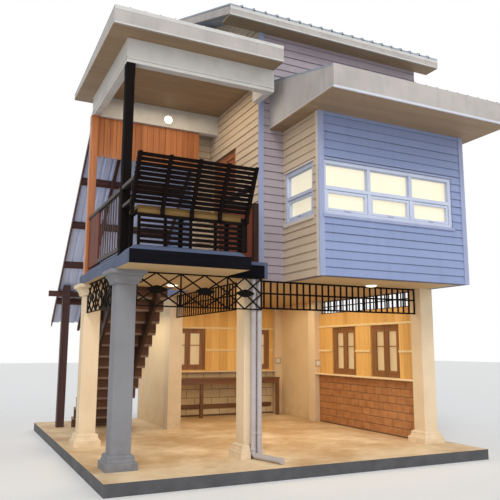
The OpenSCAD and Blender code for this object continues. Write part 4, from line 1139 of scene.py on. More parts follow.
@dataclass
class Boarding:
    """Lapped boards, corner boards and sills on every upper wall."""

    shop: Workshop
    corner_w: float = 0.07
    corner_out: float = 0.020
    sill_h: float = 0.045
    under_roof: float = 0.004
    return_top: float = 7.5
    box_front_window: Pair = (2.69, 5.09)
    box_side_window: Pair = (-0.65, 0.17)
    room_window_w: float = 1.10
    gable_top: float = 7.945

    def two_windows(self, start: float, end: float) -> list[Pair]:
        """Two windows in a wall, with the same width of wall between them and beside them."""
        w = self.room_window_w
        gap = (end - start - 2 * w) / 3
        return [(start + gap, start + gap + w), (end - gap - w, end - gap)]

    def window_holes(self, face: Face) -> list[Hole]:
        """The window openings of the wall on a face, in its own axes."""
        low, high = PLAN.window_z, PLAN.window_z + PLAN.window_h
        spans: dict[tuple[Side, float], list[Pair]] = {
            (Side.FRONT, PLAN.box_y): [self.box_front_window],
            (Side.LEFT, PLAN.box_x): [self.box_side_window],
            (Side.RIGHT, PLAN.house_x): [self.box_side_window,
                                         *self.two_windows(PLAN.front_wall_y, PLAN.house_depth)],
            (Side.BACK, PLAN.house_depth): self.two_windows(PLAN.mid_x, PLAN.house_x),
        }
        return [Hole(*face.span(a, b), low, high) for a, b in spans.get((face.side, face.at), [])]

    def wall(self, name: str, face: Face, span: Pair, low: float, high: float, finish: Finish,
             trim: Finish, ends: Sequence[int] = (0, 1), holes: Sequence[Hole] = (),
             gable: bool = False) -> None:
        """Boards one wall.

        Args:
            name: the piece's name.
            face: the wall's plane.
            span: its stretch along the house's own axis.
            low: height of its lower edge.
            high: height of its upper edge.
            finish: finish of the boards.
            trim: finish of the corner boards.
            ends: which ends get a corner board, 0 the left one and 1 the right one as seen.
            holes: openings beside the windows.
            gable: whether its top follows the main roof.
        """
        a, b = face.span(*span)
        windows = self.window_holes(face)
        windows = [h for h in windows if h.left > a - 0.2 and h.right < b + 0.2]
        inner_a = a + (self.corner_w if 0 in ends else 0.0)
        inner_b = b - (self.corner_w if 1 in ends else 0.0)
        middle = face.span(PLAN.roof_mid_y, PLAN.roof_mid_y)[0]

        def limit(end: float, sign: int) -> Callable[[float], float]:
            """The wall's limit at a height: its end, or the roof's slope where that is nearer."""
            if not gable:
                return lambda z: end
            ridge = sign * middle
            return lambda z: sign * min(sign * end, ridge + max(PLAN.roof_reach(z) - self.under_roof, 0.0))

        cut = [Hole(h.left, h.right, h.low - self.sill_h, h.high) for h in windows] + list(holes)
        boards = lapped_boards(low, high, limit(inner_a, -1), limit(inner_b, 1), cut)
        self.shop.piece(name + "_boards", face.put(boards), finish, "white_siding")
        trims = Shape()
        for h in windows:
            l, r = h.left - 0.02, h.right + 0.02
            trims.join(bar((l, h.low - self.sill_h, 0.0), (r, h.low, 0.030), Axis.X, 0.005))
            trims.join(bar((l, h.high, 0.0), (r, h.high + 0.03, 0.018), Axis.X, 0.004))
        top = [min(high, PLAN.roof_z(abs(x)) - self.under_roof) if gable else high for x in (a, b)]
        past = self.corner_out if face.side in (Side.FRONT, Side.BACK) else -0.0005
        if 0 in ends:
            trims.join(bar((a - past, low, 0.0), (a + self.corner_w, top[0], self.corner_out), Axis.Y, 0.003))
        if 1 in ends:
            trims.join(bar((b - self.corner_w, low, 0.0), (b + past, top[1], self.corner_out), Axis.Y, 0.003))
        if trims.count:
            self.shop.piece(name + "_trim", face.put(trims), trim, "white_joinery")

    def build(self) -> None:
        """Boards the nine wall faces and dresses the walls behind them."""
        p, eave = PLAN, PLAN.roof_z(PLAN.front_wall_y) - 0.03
        front_hole = Hole(p.box_x, p.house_x, p.soffit, p.box_top + 0.55)
        door = Hole(*Face(Side.LEFT, p.deck_wall_x).span(*p.door_y), p.deck, p.door_top)
        box_y, peak, right = (p.box_y, p.front_wall_y), self.gable_top, Face(Side.RIGHT, p.house_x)
        self.wall("box_front", Face(Side.FRONT, p.box_y), (p.box_x, p.house_x), p.soffit, p.box_top,
                  SIDING_SHADED, CORNER_SHADED)
        self.wall("box_left", Face(Side.LEFT, p.box_x), box_y, p.soffit, p.box_top,
                  SIDING_WARM_LIT, CORNER_WARM_LIT, (1,))
        self.wall("box_right", right, box_y, p.soffit, p.box_top, SIDING_SHADED, CORNER_SHADED, (0,))
        self.wall("room_front", Face(Side.FRONT, p.front_wall_y), (p.deck_wall_x, p.house_x), p.soffit, eave,
                  SIDING_HALF_LIT, CORNER_SHADED, (0,), [front_hole])
        self.wall("deck_side", Face(Side.LEFT, p.deck_wall_x), (p.front_wall_y, p.deck_back_y), p.deck, eave,
                  SIDING_WARM_LIT, CORNER_WARM_LIT, (), [door])
        self.wall("stair_return", Face(Side.FRONT, p.deck_back_y), (p.mid_x, p.deck_wall_x), p.deck,
                  self.return_top, SIDING_WARM_LIT, CORNER_WARM_LIT, (0,))
        self.wall("stair_side", Face(Side.LEFT, p.mid_x), (p.deck_back_y, p.house_depth), p.soffit, peak,
                  SIDING_SHADED, CORNER_SHADED, (0,), gable=True)
        self.wall("room_back", Face(Side.BACK, p.house_depth), (p.mid_x, p.house_x), p.soffit, eave,
                  SIDING_SHADED, CORNER_SHADED)
        self.wall("room_right", right, (p.front_wall_y, p.house_depth), p.soffit, peak,
                  SIDING_SHADED, CORNER_SHADED, (1,), gable=True)
        self.shop.dress(SIDING_SHADED, "box_front_wall", "box_side_walls", "room_front_wall", "stair_side_wall",
                        "room_back_wall", "room_right_wall")
        self.shop.dress(SIDING_WARM_LIT, "deck_side_wall")


@dataclass
class UpperWindows:
    """White windows: fixed lights above a transom, and sashes below it."""

    shop: Workshop
    jamb: float = 0.055
    sash: float = 0.040
    transom_low: float = 0.3625
    transom_high: float = 0.4175
    back: float = -0.075
    front: float = -0.006
    bead: float = 0.014
    sash_gap: float = 0.003
    pull_half: float = 0.05

    def light(self, hole: Hole, columns: int) -> Shape:
        """One window: frame, mullions, transom, glazing beads above and sashes below."""
        h, j = hole, self.jamb
        made = frame_ring(h, j, self.back, self.front, 0.006)
        pane = (h.right - h.left - (columns + 1) * j) / columns
        z0, z1 = h.low + self.transom_low, h.low + self.transom_high
        made.join(bar((h.left + j, z0, self.back), (h.right - j, z1, self.front), Axis.X, 0.006))
        for c in range(columns):
            x0 = h.left + j + c * (pane + j)
            x1 = x0 + pane
            if c:
                made.join(bar((x0 - j, h.low + j, self.back), (x0, z0, self.front), Axis.Y, 0.006))
                made.join(bar((x0 - j, z1, self.back), (x0, h.high - j, self.front), Axis.Y, 0.006))
            made.join(frame_ring(Hole(x0, x1, z1, h.high - j), self.bead, self.back + 0.004, -0.045, 0.005))
            foot, mid = h.low + j, (x0 + x1) / 2
            gap = self.sash_gap
            leaf = Hole(x0 + gap, x1 - gap, foot + gap, z0 - gap)
            made.join(frame_ring(leaf, self.sash, -0.070, -0.018, 0.006))
            l, r = mid - self.pull_half, mid + self.pull_half
            made.join(bar((l, foot + 0.012, -0.02), (r, foot + 0.03, -0.002), Axis.X, 0.005))
        return made

    def build(self, boarding: Boarding) -> None:
        """Makes every upper window and dresses the glass."""
        made = Shape()
        counts = {Side.FRONT: [3], Side.LEFT: [1], Side.RIGHT: [1, 2, 2], Side.BACK: [2, 2]}
        for side, at in ((Side.FRONT, PLAN.box_y), (Side.LEFT, PLAN.box_x), (Side.RIGHT, PLAN.house_x),
                         (Side.BACK, PLAN.house_depth)):
            face = Face(side, at)
            for hole, columns in zip(boarding.window_holes(face), counts[side]):
                made.join(face.put(self.light(hole, columns)))
        self.shop.piece("upper_windows", made, JOINERY, "white_joinery", "upper_window_frames")
        self.shop.dress(GLASS, "upper_window_glass")


@dataclass
class Bench:
    """The built-in bench: leaning slatted back, a thick seat and a slatted skirt under it."""

    shop: Workshop
    seat_z: float = 3.345
    face_y: float = -0.788
    x0: float = PLAN.bay_x0
    x1: float = PLAN.bay_x1
    lean: float = 0.30
    back_h: float = 0.605
    slats: int = 11
    slat_w: float = 0.048
    slat_t: float = 0.018
    posts: int = 5
    post_w: float = 0.045
    tail: float = 0.085
    seat_in: Pair = (0.115, 0.095)
    seat_depth: float = 0.43
    seat_t: float = 0.04
    front_h: float = 0.06
    board_gap: float = 0.006
    leg_w: float = 0.05

    def on_lean(self, shape: Shape) -> Shape:
        """Turns a shape about x so that its height runs up the leaning back."""
        a = math.atan(self.lean / self.back_h)
        turn = np.array([[1, 0, 0], [0, math.cos(a), -math.sin(a)], [0, math.sin(a), math.cos(a)]])
        return shape.moved(turn, (0.0, self.face_y, self.seat_z))

    def backrest(self) -> Shape:
        """Slats with eased edges in front of leaning posts with a tail below the seat."""
        made, run = Shape(), math.hypot(self.lean, self.back_h)
        pitch = (run - self.slat_w - 0.045) / (self.slats - 1)
        for i in range(self.slats):
            z = 0.045 + i * pitch
            slat = bar((self.x0, -0.003, z), (self.x1, self.slat_t - 0.003, z + self.slat_w), Axis.X, 0.004)
            made.join(self.on_lean(slat))
        gap = (self.x1 - self.x0 - 0.01 - self.post_w) / (self.posts - 1)
        y, z, w = self.face_y, self.seat_z, self.post_w
        low, high, top_y = z - self.tail, z + self.back_h, y - self.lean
        side = np.array([[y, low], [y, z], [top_y, high], [top_y - w, high], [y - w, z],
                         [y - w, low + 0.015], [y - w + 0.012, low]])
        for i in range(self.posts):
            x = self.x0 + 0.005 + i * gap
            made.join(carried(side, Axis.X, x, x + w))
        return made

    def seat_ends(self) -> Pair:
        """The seat's two ends, which stand back from the bench's own."""
        return self.x0 + self.seat_in[0], self.x1 - self.seat_in[1]

    def seat(self) -> tuple[Shape, Shape]:
        """Four boards of the seat with a front board under them, and the legs they stand on."""
        made, legs = Shape(), Shape()
        (x0, x1), y0 = self.seat_ends(), self.face_y + self.slat_t
        y1, w = y0 + self.seat_depth, self.leg_w
        board = (self.seat_depth - 3 * self.board_gap) / 4
        for i in range(4):
            y = y0 + i * (board + self.board_gap)
            made.join(bar((x0, y, self.seat_z), (x1, y + board, self.seat_z + self.seat_t), Axis.X, 0.008))
        low, high = (x0, y0, self.seat_z - self.front_h), (x1, y0 + 0.025, self.seat_z - 0.001)
        made.join(bar(low, high, Axis.X, 0.004))
        for i in range(3):
            x = x0 + i * (x1 - x0 - w) / 2
            legs.join(bar((x, y1 - w, PLAN.deck), (x + w, y1, self.seat_z), Axis.Z, 0.004))
            low = (x, y0 + 0.025, self.seat_z - 0.04)
            legs.join(bar(low, (x + w, y1 - w, self.seat_z), Axis.Y, 0.003))
        high = (self.x1 - 0.006, self.face_y + 0.055, self.seat_z - 0.01)
        legs.join(bar((x1 + 0.004, self.face_y, PLAN.deck), high, Axis.Z, 0.005))
        return made, legs

    def skirt(self) -> Shape:
        """Slats under the seat's front board with uprights behind them."""
        made, (x0, x1), y = Shape(), self.seat_ends(), self.face_y + self.slat_t
        top = self.seat_z - self.front_h
        pitch = (top - PLAN.deck - 0.02 - self.slat_w) / 5
        for i in range(6):
            z = PLAN.deck + 0.02 + i * pitch
            made.join(bar((x0, self.face_y, z), (x1, y, z + self.slat_w * 0.85), Axis.X, 0.004))
        for i in range(5):
            x = x0 + i * (x1 - x0 - 0.035) / 4
            made.join(bar((x, y, PLAN.deck), (x + 0.035, y + 0.03, top), Axis.Z, 0.003))
        return made

    def build(self) -> None:
        """Makes the three parts of the bench."""
        self.shop.piece("bench_back", self.backrest(), DARK_X, "dark_timber", "bench_backrest")
        boards, legs = self.seat()
        self.shop.piece("bench_boards", boards, SEAT, "dark_timber", "bench_seat")
        self.shop.piece("bench_legs", legs, DARK_Z, "dark_timber")
        self.shop.piece("bench_front", self.skirt(), DARK_X, "dark_timber", "bench_skirt")


@dataclass
class Balcony:
    """Railings, guards, posts, beams and the boards over the stairhead."""

    shop: Workshop
    rail_x: float = -0.01
    rail_z: float = 3.74
    rail_w: float = 0.06
    post_x: float = -0.04
    post_y: float = -0.26
    post_w: float = 0.12
    stairhead_x: float = -0.07
    stairhead_y: float = 1.86
    bench_end_y: float = -0.935
    guard_l: float = 0.70
    baluster: float = 0.014
    baluster_pitch: float = 0.14
    valance_h: float = 0.69
    valance_w: float = 0.103
    valance_back: float = 1.936
    newel_w: float = 0.085
    door_x: float = 2.25
    door_t: float = 0.045
    door_rails: tuple[float, ...] = (0.0, 0.22, 0.86, 0.98, 1.48, 1.58, 1.98, 2.10)

    def handrail(self, y0: float, y1: float, top: float) -> Shape:
        """A rail with a rounded top, carried along y."""
        t = np.linspace(0.0, math.pi, 9)
        r = self.rail_w / 2
        arch = np.stack([top - r * 0.6 + np.sin(t) * r * 0.6, self.rail_x - np.cos(t) * r], -1)
        foot, a, b, c = top - self.rail_w, self.rail_x - r, self.rail_x + r, 0.004
        base = np.array([[foot + c, b], [foot, b - c], [foot, a + c], [foot + c, a]])
        return carried(np.concatenate([arch, base]), Axis.Y, y0, y1)

    def side_rail(self) -> Shape:
        """Handrail beside the bench and over the balusters, with the rails under them."""
        y_bench, y_rail, y_end = self.bench_end_y, self.post_y + self.post_w, self.stairhead_y
        y_guard = y_end - self.guard_l
        half, seat_z = 0.02, Bench.seat_z
        made = self.handrail(y_bench, self.post_y, self.rail_z)
        made.join(self.handrail(y_rail, y_end, self.rail_z))
        a, b = self.rail_x - half, self.rail_x + half
        made.join(bar((a, y_bench + 0.15, seat_z + 0.09), (b, self.post_y, seat_z + 0.13), Axis.Y))
        made.join(bar((a, y_rail, PLAN.deck), (b, y_guard, PLAN.deck + 0.06), Axis.Y))
        return made

    def balusters(self) -> Shape:
        """Square uprights between the two rails."""
        y_guard, y_rail, made = self.stairhead_y - self.guard_l, self.post_y + self.post_w, Shape()
        count, half = round((y_guard - y_rail) / self.baluster_pitch), self.baluster / 2
        for i in range(1, count):
            y = y_rail + i * (y_guard - y_rail) / count
            low = (self.rail_x - half, y - half, PLAN.deck + 0.05)
            high = (self.rail_x + half, y + half, self.rail_z - 0.055)
            made.join(bar(low, high, Axis.Z, 0.002))
        return made

    def plank_row(self, along: Axis, start: float, end: float, across: Pair, low: float, high: float,
                  width: float) -> Shape:
        """Upright planks side by side, each with eased arrises that make a joint line."""
        count = max(1, round((end - start) / width))
        step = (end - start) / count
        made = Shape()
        for i in range(count):
            a, b = start + i * step + 0.0008, start + (i + 1) * step - 0.0008
            if along is Axis.X:
                lo, hi = (a, across[0], low), (b, across[1], high)
            else:
                lo, hi = (across[0], a, low), (across[1], b, high)
            made.join(bar(lo, hi, Axis.Z))
        return made

    def right_rails(self) -> tuple[Shape, Shape, Shape]:
        """Planks, newel and rails between the bench bay and the house."""
        newel, y0 = self.newel_w, PLAN.deck_edge_y
        xn, x0 = PLAN.deck_wall_x - 0.06 - 2 * newel, PLAN.bay_x1 - self.rail_w - 0.015
        top = self.rail_z - self.rail_w
        planks = self.plank_row(Axis.X, x0, xn, (y0 + 0.03, y0 + 0.06), PLAN.deck, top, 0.125)
        post = bar((xn, y0, PLAN.deck), (xn + newel, y0 + newel, self.rail_z + 0.012), Axis.Z, 0.006)
        cap = np.array([[0.0, 0.0], [0.006, 0.004], [0.006, 0.012], [-0.03, 0.018]])
        cap[:, 1] += self.rail_z + 0.012
        post.join(square_shaft(cap, (xn + 0.006, y0 + 0.006), (xn + newel - 0.006, y0 + newel - 0.006)))
        rails = bar((x0, self.bench_end_y, top), (x0 + self.rail_w, y0 + 0.06, self.rail_z), Axis.Y, 0.01)
        rails.join(bar((x0 + self.rail_w, y0 + 0.03, top), (xn, y0 + 0.06, self.rail_z), Axis.X, 0.006))
        return planks, rails, post

    def valance(self) -> tuple[Shape, Shape]:
        """Upright boards with round lower ends, and the strip that they are nailed to.

        Each outline is a strip closed by a half circle; the joints between the boards show the strip.
        """
        x0, x1, z1 = self.stairhead_x + self.post_w, PLAN.mid_x, PLAN.header
        count = round((x1 - x0) / self.valance_w)
        w, z0 = (x1 - x0) / count, PLAN.header - self.valance_h
        t = np.linspace(math.pi, 2 * math.pi, 13)
        made = Shape()
        for i in range(count):
            mid, r = x0 + (i + 0.5) * w, w / 2 - 0.003
            arc = np.stack([mid + r * np.cos(t), z0 + w / 2 + r * np.sin(t)], -1)
            outline = np.concatenate([arc, [[mid + r, z1], [mid - r, z1]]])
            front = self.valance_back - (0.016 if i % 2 else 0.013)
            made.join(carried(outline[:, ::-1][::-1], Axis.Y, front, self.valance_back))
        low, high = (x0, self.valance_back + 0.0002, z0 + w * 0.6), (x1, self.valance_back + 0.008, z1)
        return made, bar(low, high, Axis.X, 0.001)

    def stepped_post(self, x: float, y: float, low: float) -> Shape:
        """A post with stopped chamfers: the arrises are cut back between its two ends."""
        lo, hi, c = (x, y), (x + self.post_w, y + self.post_w), 0.010
        foot, head = PLAN.deck + 0.16, PLAN.header - 0.16
        made = square_shaft(np.array([(0.0, low), (0.0, foot)]), lo, hi)
        made.join(bar((x + 0.001, y + 0.001, foot), (hi[0] - 0.001, hi[1] - 0.001, head), Axis.Z, c))
        return made.join(square_shaft(np.array([(0.0, head), (0.0, PLAN.header)]), lo, hi))

    def door(self) -> Shape:
        """The balcony door: frame, stiles, rails and raised panels, seen from the balcony."""
        t, rails = self.door_t, self.door_rails
        face = Face(Side.LEFT, self.door_x - t / 2)
        a, b = face.span(*PLAN.door_y)
        z0, z1 = PLAN.deck, PLAN.door_top
        made, stile, half = Shape(), 0.12, 0.05
        made.join(bar((a, z0, -t), (a + stile, z1, 0.0), Axis.Y, 0.004))
        made.join(bar((b - stile, z0, -t), (b, z1, 0.0), Axis.Y, 0.004))
        for low, high in zip(rails[::2], rails[1::2]):
            made.join(bar((a + stile, z0 + low, -t), (b - stile, z0 + high, 0.0), Axis.X, 0.004))
        middle = (a + b) / 2
        for low, high in zip(rails[1:-1:2], rails[2::2]):
            made.join(bar((middle - half, z0 + low, -t), (middle + half, z0 + high, 0.0), Axis.Y, 0.004))
            for l, r in ((a + stile, middle - half), (middle + half, b - stile)):
                panel = np.array([(0.0, -t + 0.004), (0.0, -0.022), (-0.035, -0.008)])
                made.join(square_shaft(panel, (l, z0 + low), (r, z0 + high)))
        knob = [(0.002, 0.0), (0.022, 0.004), (0.018, 0.02), (0.026, 0.035), (0.024, 0.05), (0.004, 0.056)]
        made.join(turned_round(np.array(knob), (a + stile / 2, z0 + 0.96, -0.001), 20))
        return face.put(made)

    def header(self) -> Shape:
        """Beams round the balcony's top with a small bead along their lower edge."""
        x0, x1, y0, y1 = self.post_x, PLAN.deck_wall_x, self.post_y, PLAN.rear_y
        z0, z1, t = PLAN.header, PLAN.deck_top, self.post_w
        made = bar((x0, y0, z0), (x1, y0 + t, z1), Axis.X, 0.006)
        made.join(bar((x0, y1 - t, z0), (x1, y1, z1), Axis.X, 0.006))
        made.join(bar((x0, y0 + t, z0), (x0 + t, y1 - t, z1), Axis.Y, 0.006))
        made.join(bar((x1 - t, y0 + t, z0), (x1, PLAN.front_wall_y, z1), Axis.Y, 0.006))
        made.join(bar((x0 - 0.012, y0 - 0.012, z0 + 0.05), (x1, y0 + 0.002, z0 + 0.075), Axis.X, 0.005))
        made.join(bar((x0 - 0.012, y0 - 0.012, z0 + 0.05), (x0 + 0.002, y1, z0 + 0.075), Axis.Y, 0.005))
        return made

    def edge_boards(self) -> Shape:
        """Dark boards along the floor's edges, with eased arrises."""
        made = Shape()
        x0, x1, y, z = PLAN.bay_x0, PLAN.bay_x1, PLAN.bay_y, PLAN.soffit
        back, h, t = PLAN.deck_edge_y, 0.17, 0.018
        made.join(bar((x0, y - t, z), (x1 + t, y, z + h), Axis.X, 0.003))
        made.join(bar((x1, y, z), (x1 + t, back, z + h), Axis.Y, 0.003))
        made.join(bar((x1 + t, back - t, z), (PLAN.deck_wall_x - 0.06, back, z + 0.19), Axis.X, 0.003))
        return made

    def build(self) -> None:
        """Makes the balcony's pieces and dresses its floor."""
        p, shop = PLAN, self.shop
        shop.dress(DECK_LAMPLIT_AND_SHADED, "upper_floor")
        shop.piece("dark_edge_boards", self.edge_boards(), EDGE, "edge_board", "deck_edge_boards")
        shop.piece("side_rails", self.side_rail(), DARK_Y, "dark_timber", "side_railing")
        shop.piece("side_balusters", self.balusters(), BALUSTER, "dark_timber")
        y_end = self.stairhead_y
        guard = self.plank_row(Axis.Y, y_end - self.guard_l, y_end, (-0.025, 0.005), p.deck,
                               self.rail_z - self.rail_w, 0.118)
        shop.piece("stairhead_guard", guard, RED_Z, "red_timber", "stair_guard")
        planks, rails, post = self.right_rails()
        shop.piece("right_planks", planks, RED_PLANK, "red_timber", "right_guard")
        shop.piece("right_rails", rails, DARK_Y, "red_timber")
        shop.piece("right_newel", post, NEWEL, "red_timber")
        front = self.stepped_post(self.post_x, self.post_y, p.deck - 0.1)
        shop.piece("front_post", front, DARK_Z, "dark_timber", "deck_posts")
        orange = self.stepped_post(self.stairhead_x, y_end, p.deck - 0.1)
        shop.piece("stairhead_orange_post", orange, ORANGE_Z, "orange_timber", "stairhead_post")
        boards, strip = self.valance()
        shop.piece("valance_boards", boards, ORANGE_Z, "orange_timber", "stairhead_valance")
        shop.piece("valance_strip", strip, BROWN_X, "orange_timber")
        shop.piece("balcony_beams", self.header(), BEAM, "beam_paint", "deck_header")
        shop.piece("balcony_door", self.door(), DOOR, "orange_timber", "deck_door")


@dataclass
class Stair:
    """The timber flight: treads with rounded nosings, risers and two saw-tooth strings."""

    shop: Workshop
    x0: float = 0.295
    width: float = 1.065
    count: int = 13
    going: float = 0.20
    well_y: float = 1.85
    nosing: float = 0.025
    thick: float = 0.04
    riser_t: float = 0.02
    string_in: Pair = (0.07, 0.21)

    def tread(self, i: int) -> Shape:
        """Tread i, counted from 1 at the foot: its section's front is a half round."""
        rise = (PLAN.deck - PLAN.slab) / (self.count + 1)
        foot = self.well_y + self.count * self.going
        front, back = foot - (i - 1) * self.going, max(foot - i * self.going - self.nosing, self.well_y)
        z = PLAN.slab + i * rise
        t = np.linspace(-math.pi / 2, math.pi / 2, 9)
        r = self.thick / 2
        nose = np.stack([front - r + np.cos(t) * r, z - r + np.sin(t) * r], -1)
        outline = np.concatenate([nose, [[back + 0.003, z], [back, z - 0.003], [back, z - self.thick + 0.003],
                                         [back + 0.003, z - self.thick]]])
        return carried(outline, Axis.X, self.x0, self.x0 + self.width)

    def riser_ends(self) -> Shape:
        """The risers' parts outside the two strings, which close each step out to the tread's ends."""
        made, rise = Shape(), (PLAN.deck - PLAN.slab) / (self.count + 1)
        spans = ((self.x0 + 0.002, self.x0 + self.string_in[0]),
                 (self.x0 + self.width - self.string_in[1], self.x0 + self.width - 0.002))
        for i in range(1, self.count + 1):
            front = self.well_y + (self.count - i + 1) * self.going - self.nosing
            low = PLAN.slab + (i - 1) * rise
            high = low + rise - self.thick
            for a, b in spans:
                made.join(bar((a, front - self.riser_t, low), (b, front, high), Axis.X, 0.002))
        return made

    def build(self) -> None:
        """Makes the treads and the risers' ends, and dresses the strings and risers."""
        treads = Shape()
        for i in range(1, self.count + 1):
            treads.join(self.tread(i))
        self.shop.piece("riser_ends", self.riser_ends(), RISER, "dark_timber")
        self.shop.piece("treads", treads, TREAD, "brown_timber", "stair_treads")
        self.shop.dress(STRING, "stair_strings")
        self.shop.dress(RISER, "stair_risers")


@dataclass
class GroundRoom:
    """Boarded walls over blockwork, brown casements, the sill shelf and the counter."""

    shop: Workshop
    board_z: float = 1.145
    board_w: float = 0.205
    block: Pair = (0.40, 0.20)
    brick: Pair = (0.25, 0.137)
    back_x: Pair = (2.11, 5.09)
    lining_at: Pair = (5.24, 5.23)
    masonry_at: Pair = (5.21, 5.20)
    casement_at: Pair = (5.285, 5.275)
    glass_in: float = 0.0365
    window_w: float = 0.82
    back_windows: Pair = (2.53, 4.18)
    back_window_z: Pair = (1.17, 2.10)
    side_window_top: float = 2.085
    side_boards_top: float = 2.38
    masonry_top: float = 1.10
    shelf_z: float = 1.11
    rail_z: Pair = (1.61, 2.11)
    counter_x: Pair = (2.15, 5.05)
    counter_y: Pair = (4.79, 5.21)
    counter_z: float = 0.995

    def faces(self) -> tuple[Face, Face]:
        """The inner faces of the back and right walls, which look into the room."""
        return Face(Side.FRONT, self.lining_at[0]), Face(Side.LEFT, self.lining_at[1])

    def windows(self) -> tuple[list[Hole], list[Hole]]:
        """Openings of the back wall and of the right wall, in their own axes."""
        side, w = self.faces()[1], self.window_w
        back = [Hole(x, x + w, *self.back_window_z) for x in self.back_windows]
        gap = (PLAN.third_y - PLAN.column_w - 2 * w) / 3
        starts = (PLAN.column_w + gap, PLAN.column_w + 2 * gap + w)
        right = [Hole(*side.span(y, y + w), self.board_z, self.side_window_top) for y in starts]
        return back, right

    def boarded(self, a: float, b: float, high: float, holes: Sequence[Hole]) -> Shape:
        """Upright boards with eased arrises from one end to the other, round the openings."""
        made, count = Shape(), round((b - a) / self.board_w)
        step = (b - a) / count
        for i in range(count):
            l, r = a + i * step + 0.001, a + (i + 1) * step - 0.001
            edges = sorted({l, r} | {e for h in holes for e in (h.left, h.right) if l < e < r})
            for x0, x1 in zip(edges[:-1], edges[1:]):
                gone = [(h.low, h.high) for h in holes if h.left < (x0 + x1) / 2 < h.right]
                for z0, z1 in split_round((self.board_z, high), gone):
                    if x1 - x0 > 0.01 and z1 - z0 > 0.01:
                        made.join(plate((x0, z0, -0.002), (x1, z1, 0.012), 0.004))
        return made

    def casement(self, h: Hole, frame: Pair = (-0.028, 0.030),
                 sash: Pair = (-0.020, 0.022)) -> Shape:
        """A frame with two glazed leaves, each with stiles, rails and a glazing bar above its middle.

        Args:
            h: the window's opening.
            frame: where the frame starts and ends outwards.
            sash: where the leaves start and end outwards.

        Returns:
            The closed shapes.
        """
        w, (back, front) = 0.055, sash
        made = frame_ring(h, w, *frame, 0.006)
        mid = (h.left + h.right) / 2
        for l, r in ((h.left + w, mid - 0.001), (mid + 0.001, h.right - w)):
            leaf = Hole(l, r, h.low + w, h.high - w)
            made.join(frame_ring(leaf, 0.062, back, front, 0.005))
            z = leaf.low + (leaf.high - leaf.low) * 0.6
            made.join(bar((l + 0.06, z - 0.009, back), (r - 0.06, z + 0.009, front - 0.006), Axis.X, 0.004))
        return made

    def outside(self, face: Face, glass: float, holes: Sequence[Hole], span: Pair,
                size: Pair) -> tuple[Shape, Shape]:
        """The outer side of a wall: shallow frames on its glass, and masonry below its sill.

        Args:
            face: the wall's outer face.
            glass: how far the glass lies behind that face.
            holes: the windows in the axes of the inner face, which runs the other way.
            span: the wall's stretch along the house's own axis.
            size: length and height of a block.

        Returns:
            The frames, and the masonry.
        """
        frames, pane = Shape(), Face(face.side, face.at - glass)
        for h in holes:
            turned = Hole(-h.right, -h.left, h.low, h.high)
            frames.join(pane.put(self.casement(turned, (0.0, 0.026), (0.0, 0.018))))
        return frames, face.put(self.blocks(*face.span(*span), PLAN.slab + 0.02, self.masonry_top, size))

    def blocks(self, a: float, b: float, low: float, high: float, size: Pair) -> Shape:
        """Masonry in running bond: plates with eased edges, half a block over in every other course."""
        made, (w, h), joint = Shape(), size, 0.005
        rows = max(1, round((high - low) / h))
        step = (high - low) / rows
        for j in range(rows):
            x, z = a - (w / 2 if j % 2 else 0.0), low + j * step
            while x < b - 0.01:
                x0, x1 = max(x, a) + joint, min(x + w, b) - joint
                if x1 - x0 > 0.03:
                    made.join(plate((x0, z + joint, 0.0), (x1, z + step - joint, 0.007), 0.004))
                x += w
        return made

    def shelf(self) -> Shape:
        """The sill shelf on both walls with a rounded front edge."""
        made, low, high = Shape(), self.shelf_z, self.board_z
        r = (high - low) / 2
        t = np.linspace(-math.pi / 2, math.pi / 2, 7)
        spans = ((*self.back_x, Axis.X), (PLAN.column_w, PLAN.third_y, Axis.Y))
        for (x0, x1, axis), at in zip(spans, self.masonry_at):
            front, back = at - 0.11, at + 0.15
            curve = np.stack([front + r - np.cos(t) * r, low + r + np.sin(t) * r], -1)
            outline = np.concatenate([curve, [[back, high], [back, low]]])
            if axis is Axis.X:
                made.join(carried(outline[::-1], Axis.X, x0, x1))
            else:
                made.join(carried(outline[:, ::-1], Axis.Y, x0, x1))
        return made

    def counter(self) -> Shape:
        """The counter: three planks, an apron under them, four legs with brackets, and a rail behind."""
        (x0, x1), (y0, y1), z, slab = self.counter_x, self.counter_y, self.counter_z, PLAN.slab
        made, plank, leg = Shape(), (y1 - y0) / 3, 0.07
        for i in range(3):
            y = y0 + i * plank
            made.join(bar((x0, y + 0.001, z - 0.035), (x1, y + plank - 0.001, z), Axis.X, 0.005))
        made.join(bar((x0 + 0.03, y0 + 0.018, z - 0.13), (x1 - 0.03, y0 + 0.040, z - 0.034), Axis.X, 0.003))
        for i in range(4):
            x = x0 + i * (x1 - x0 - leg) / 3
            made.join(bar((x, y0 + 0.03, slab), (x + leg, y0 + 0.03 + leg, z - 0.034), Axis.Z, 0.006))
            made.join(bar((x + 0.015, y0 + 0.09, z - 0.10), (x + 0.055, y1, z - 0.034), Axis.Y, 0.003))
        low, high = (x0 + 0.03, y1 - 0.03, slab + 0.16), (x1 - 0.03, y1 - 0.006, slab + 0.26)
        return made.join(bar(low, high, Axis.X, 0.004))

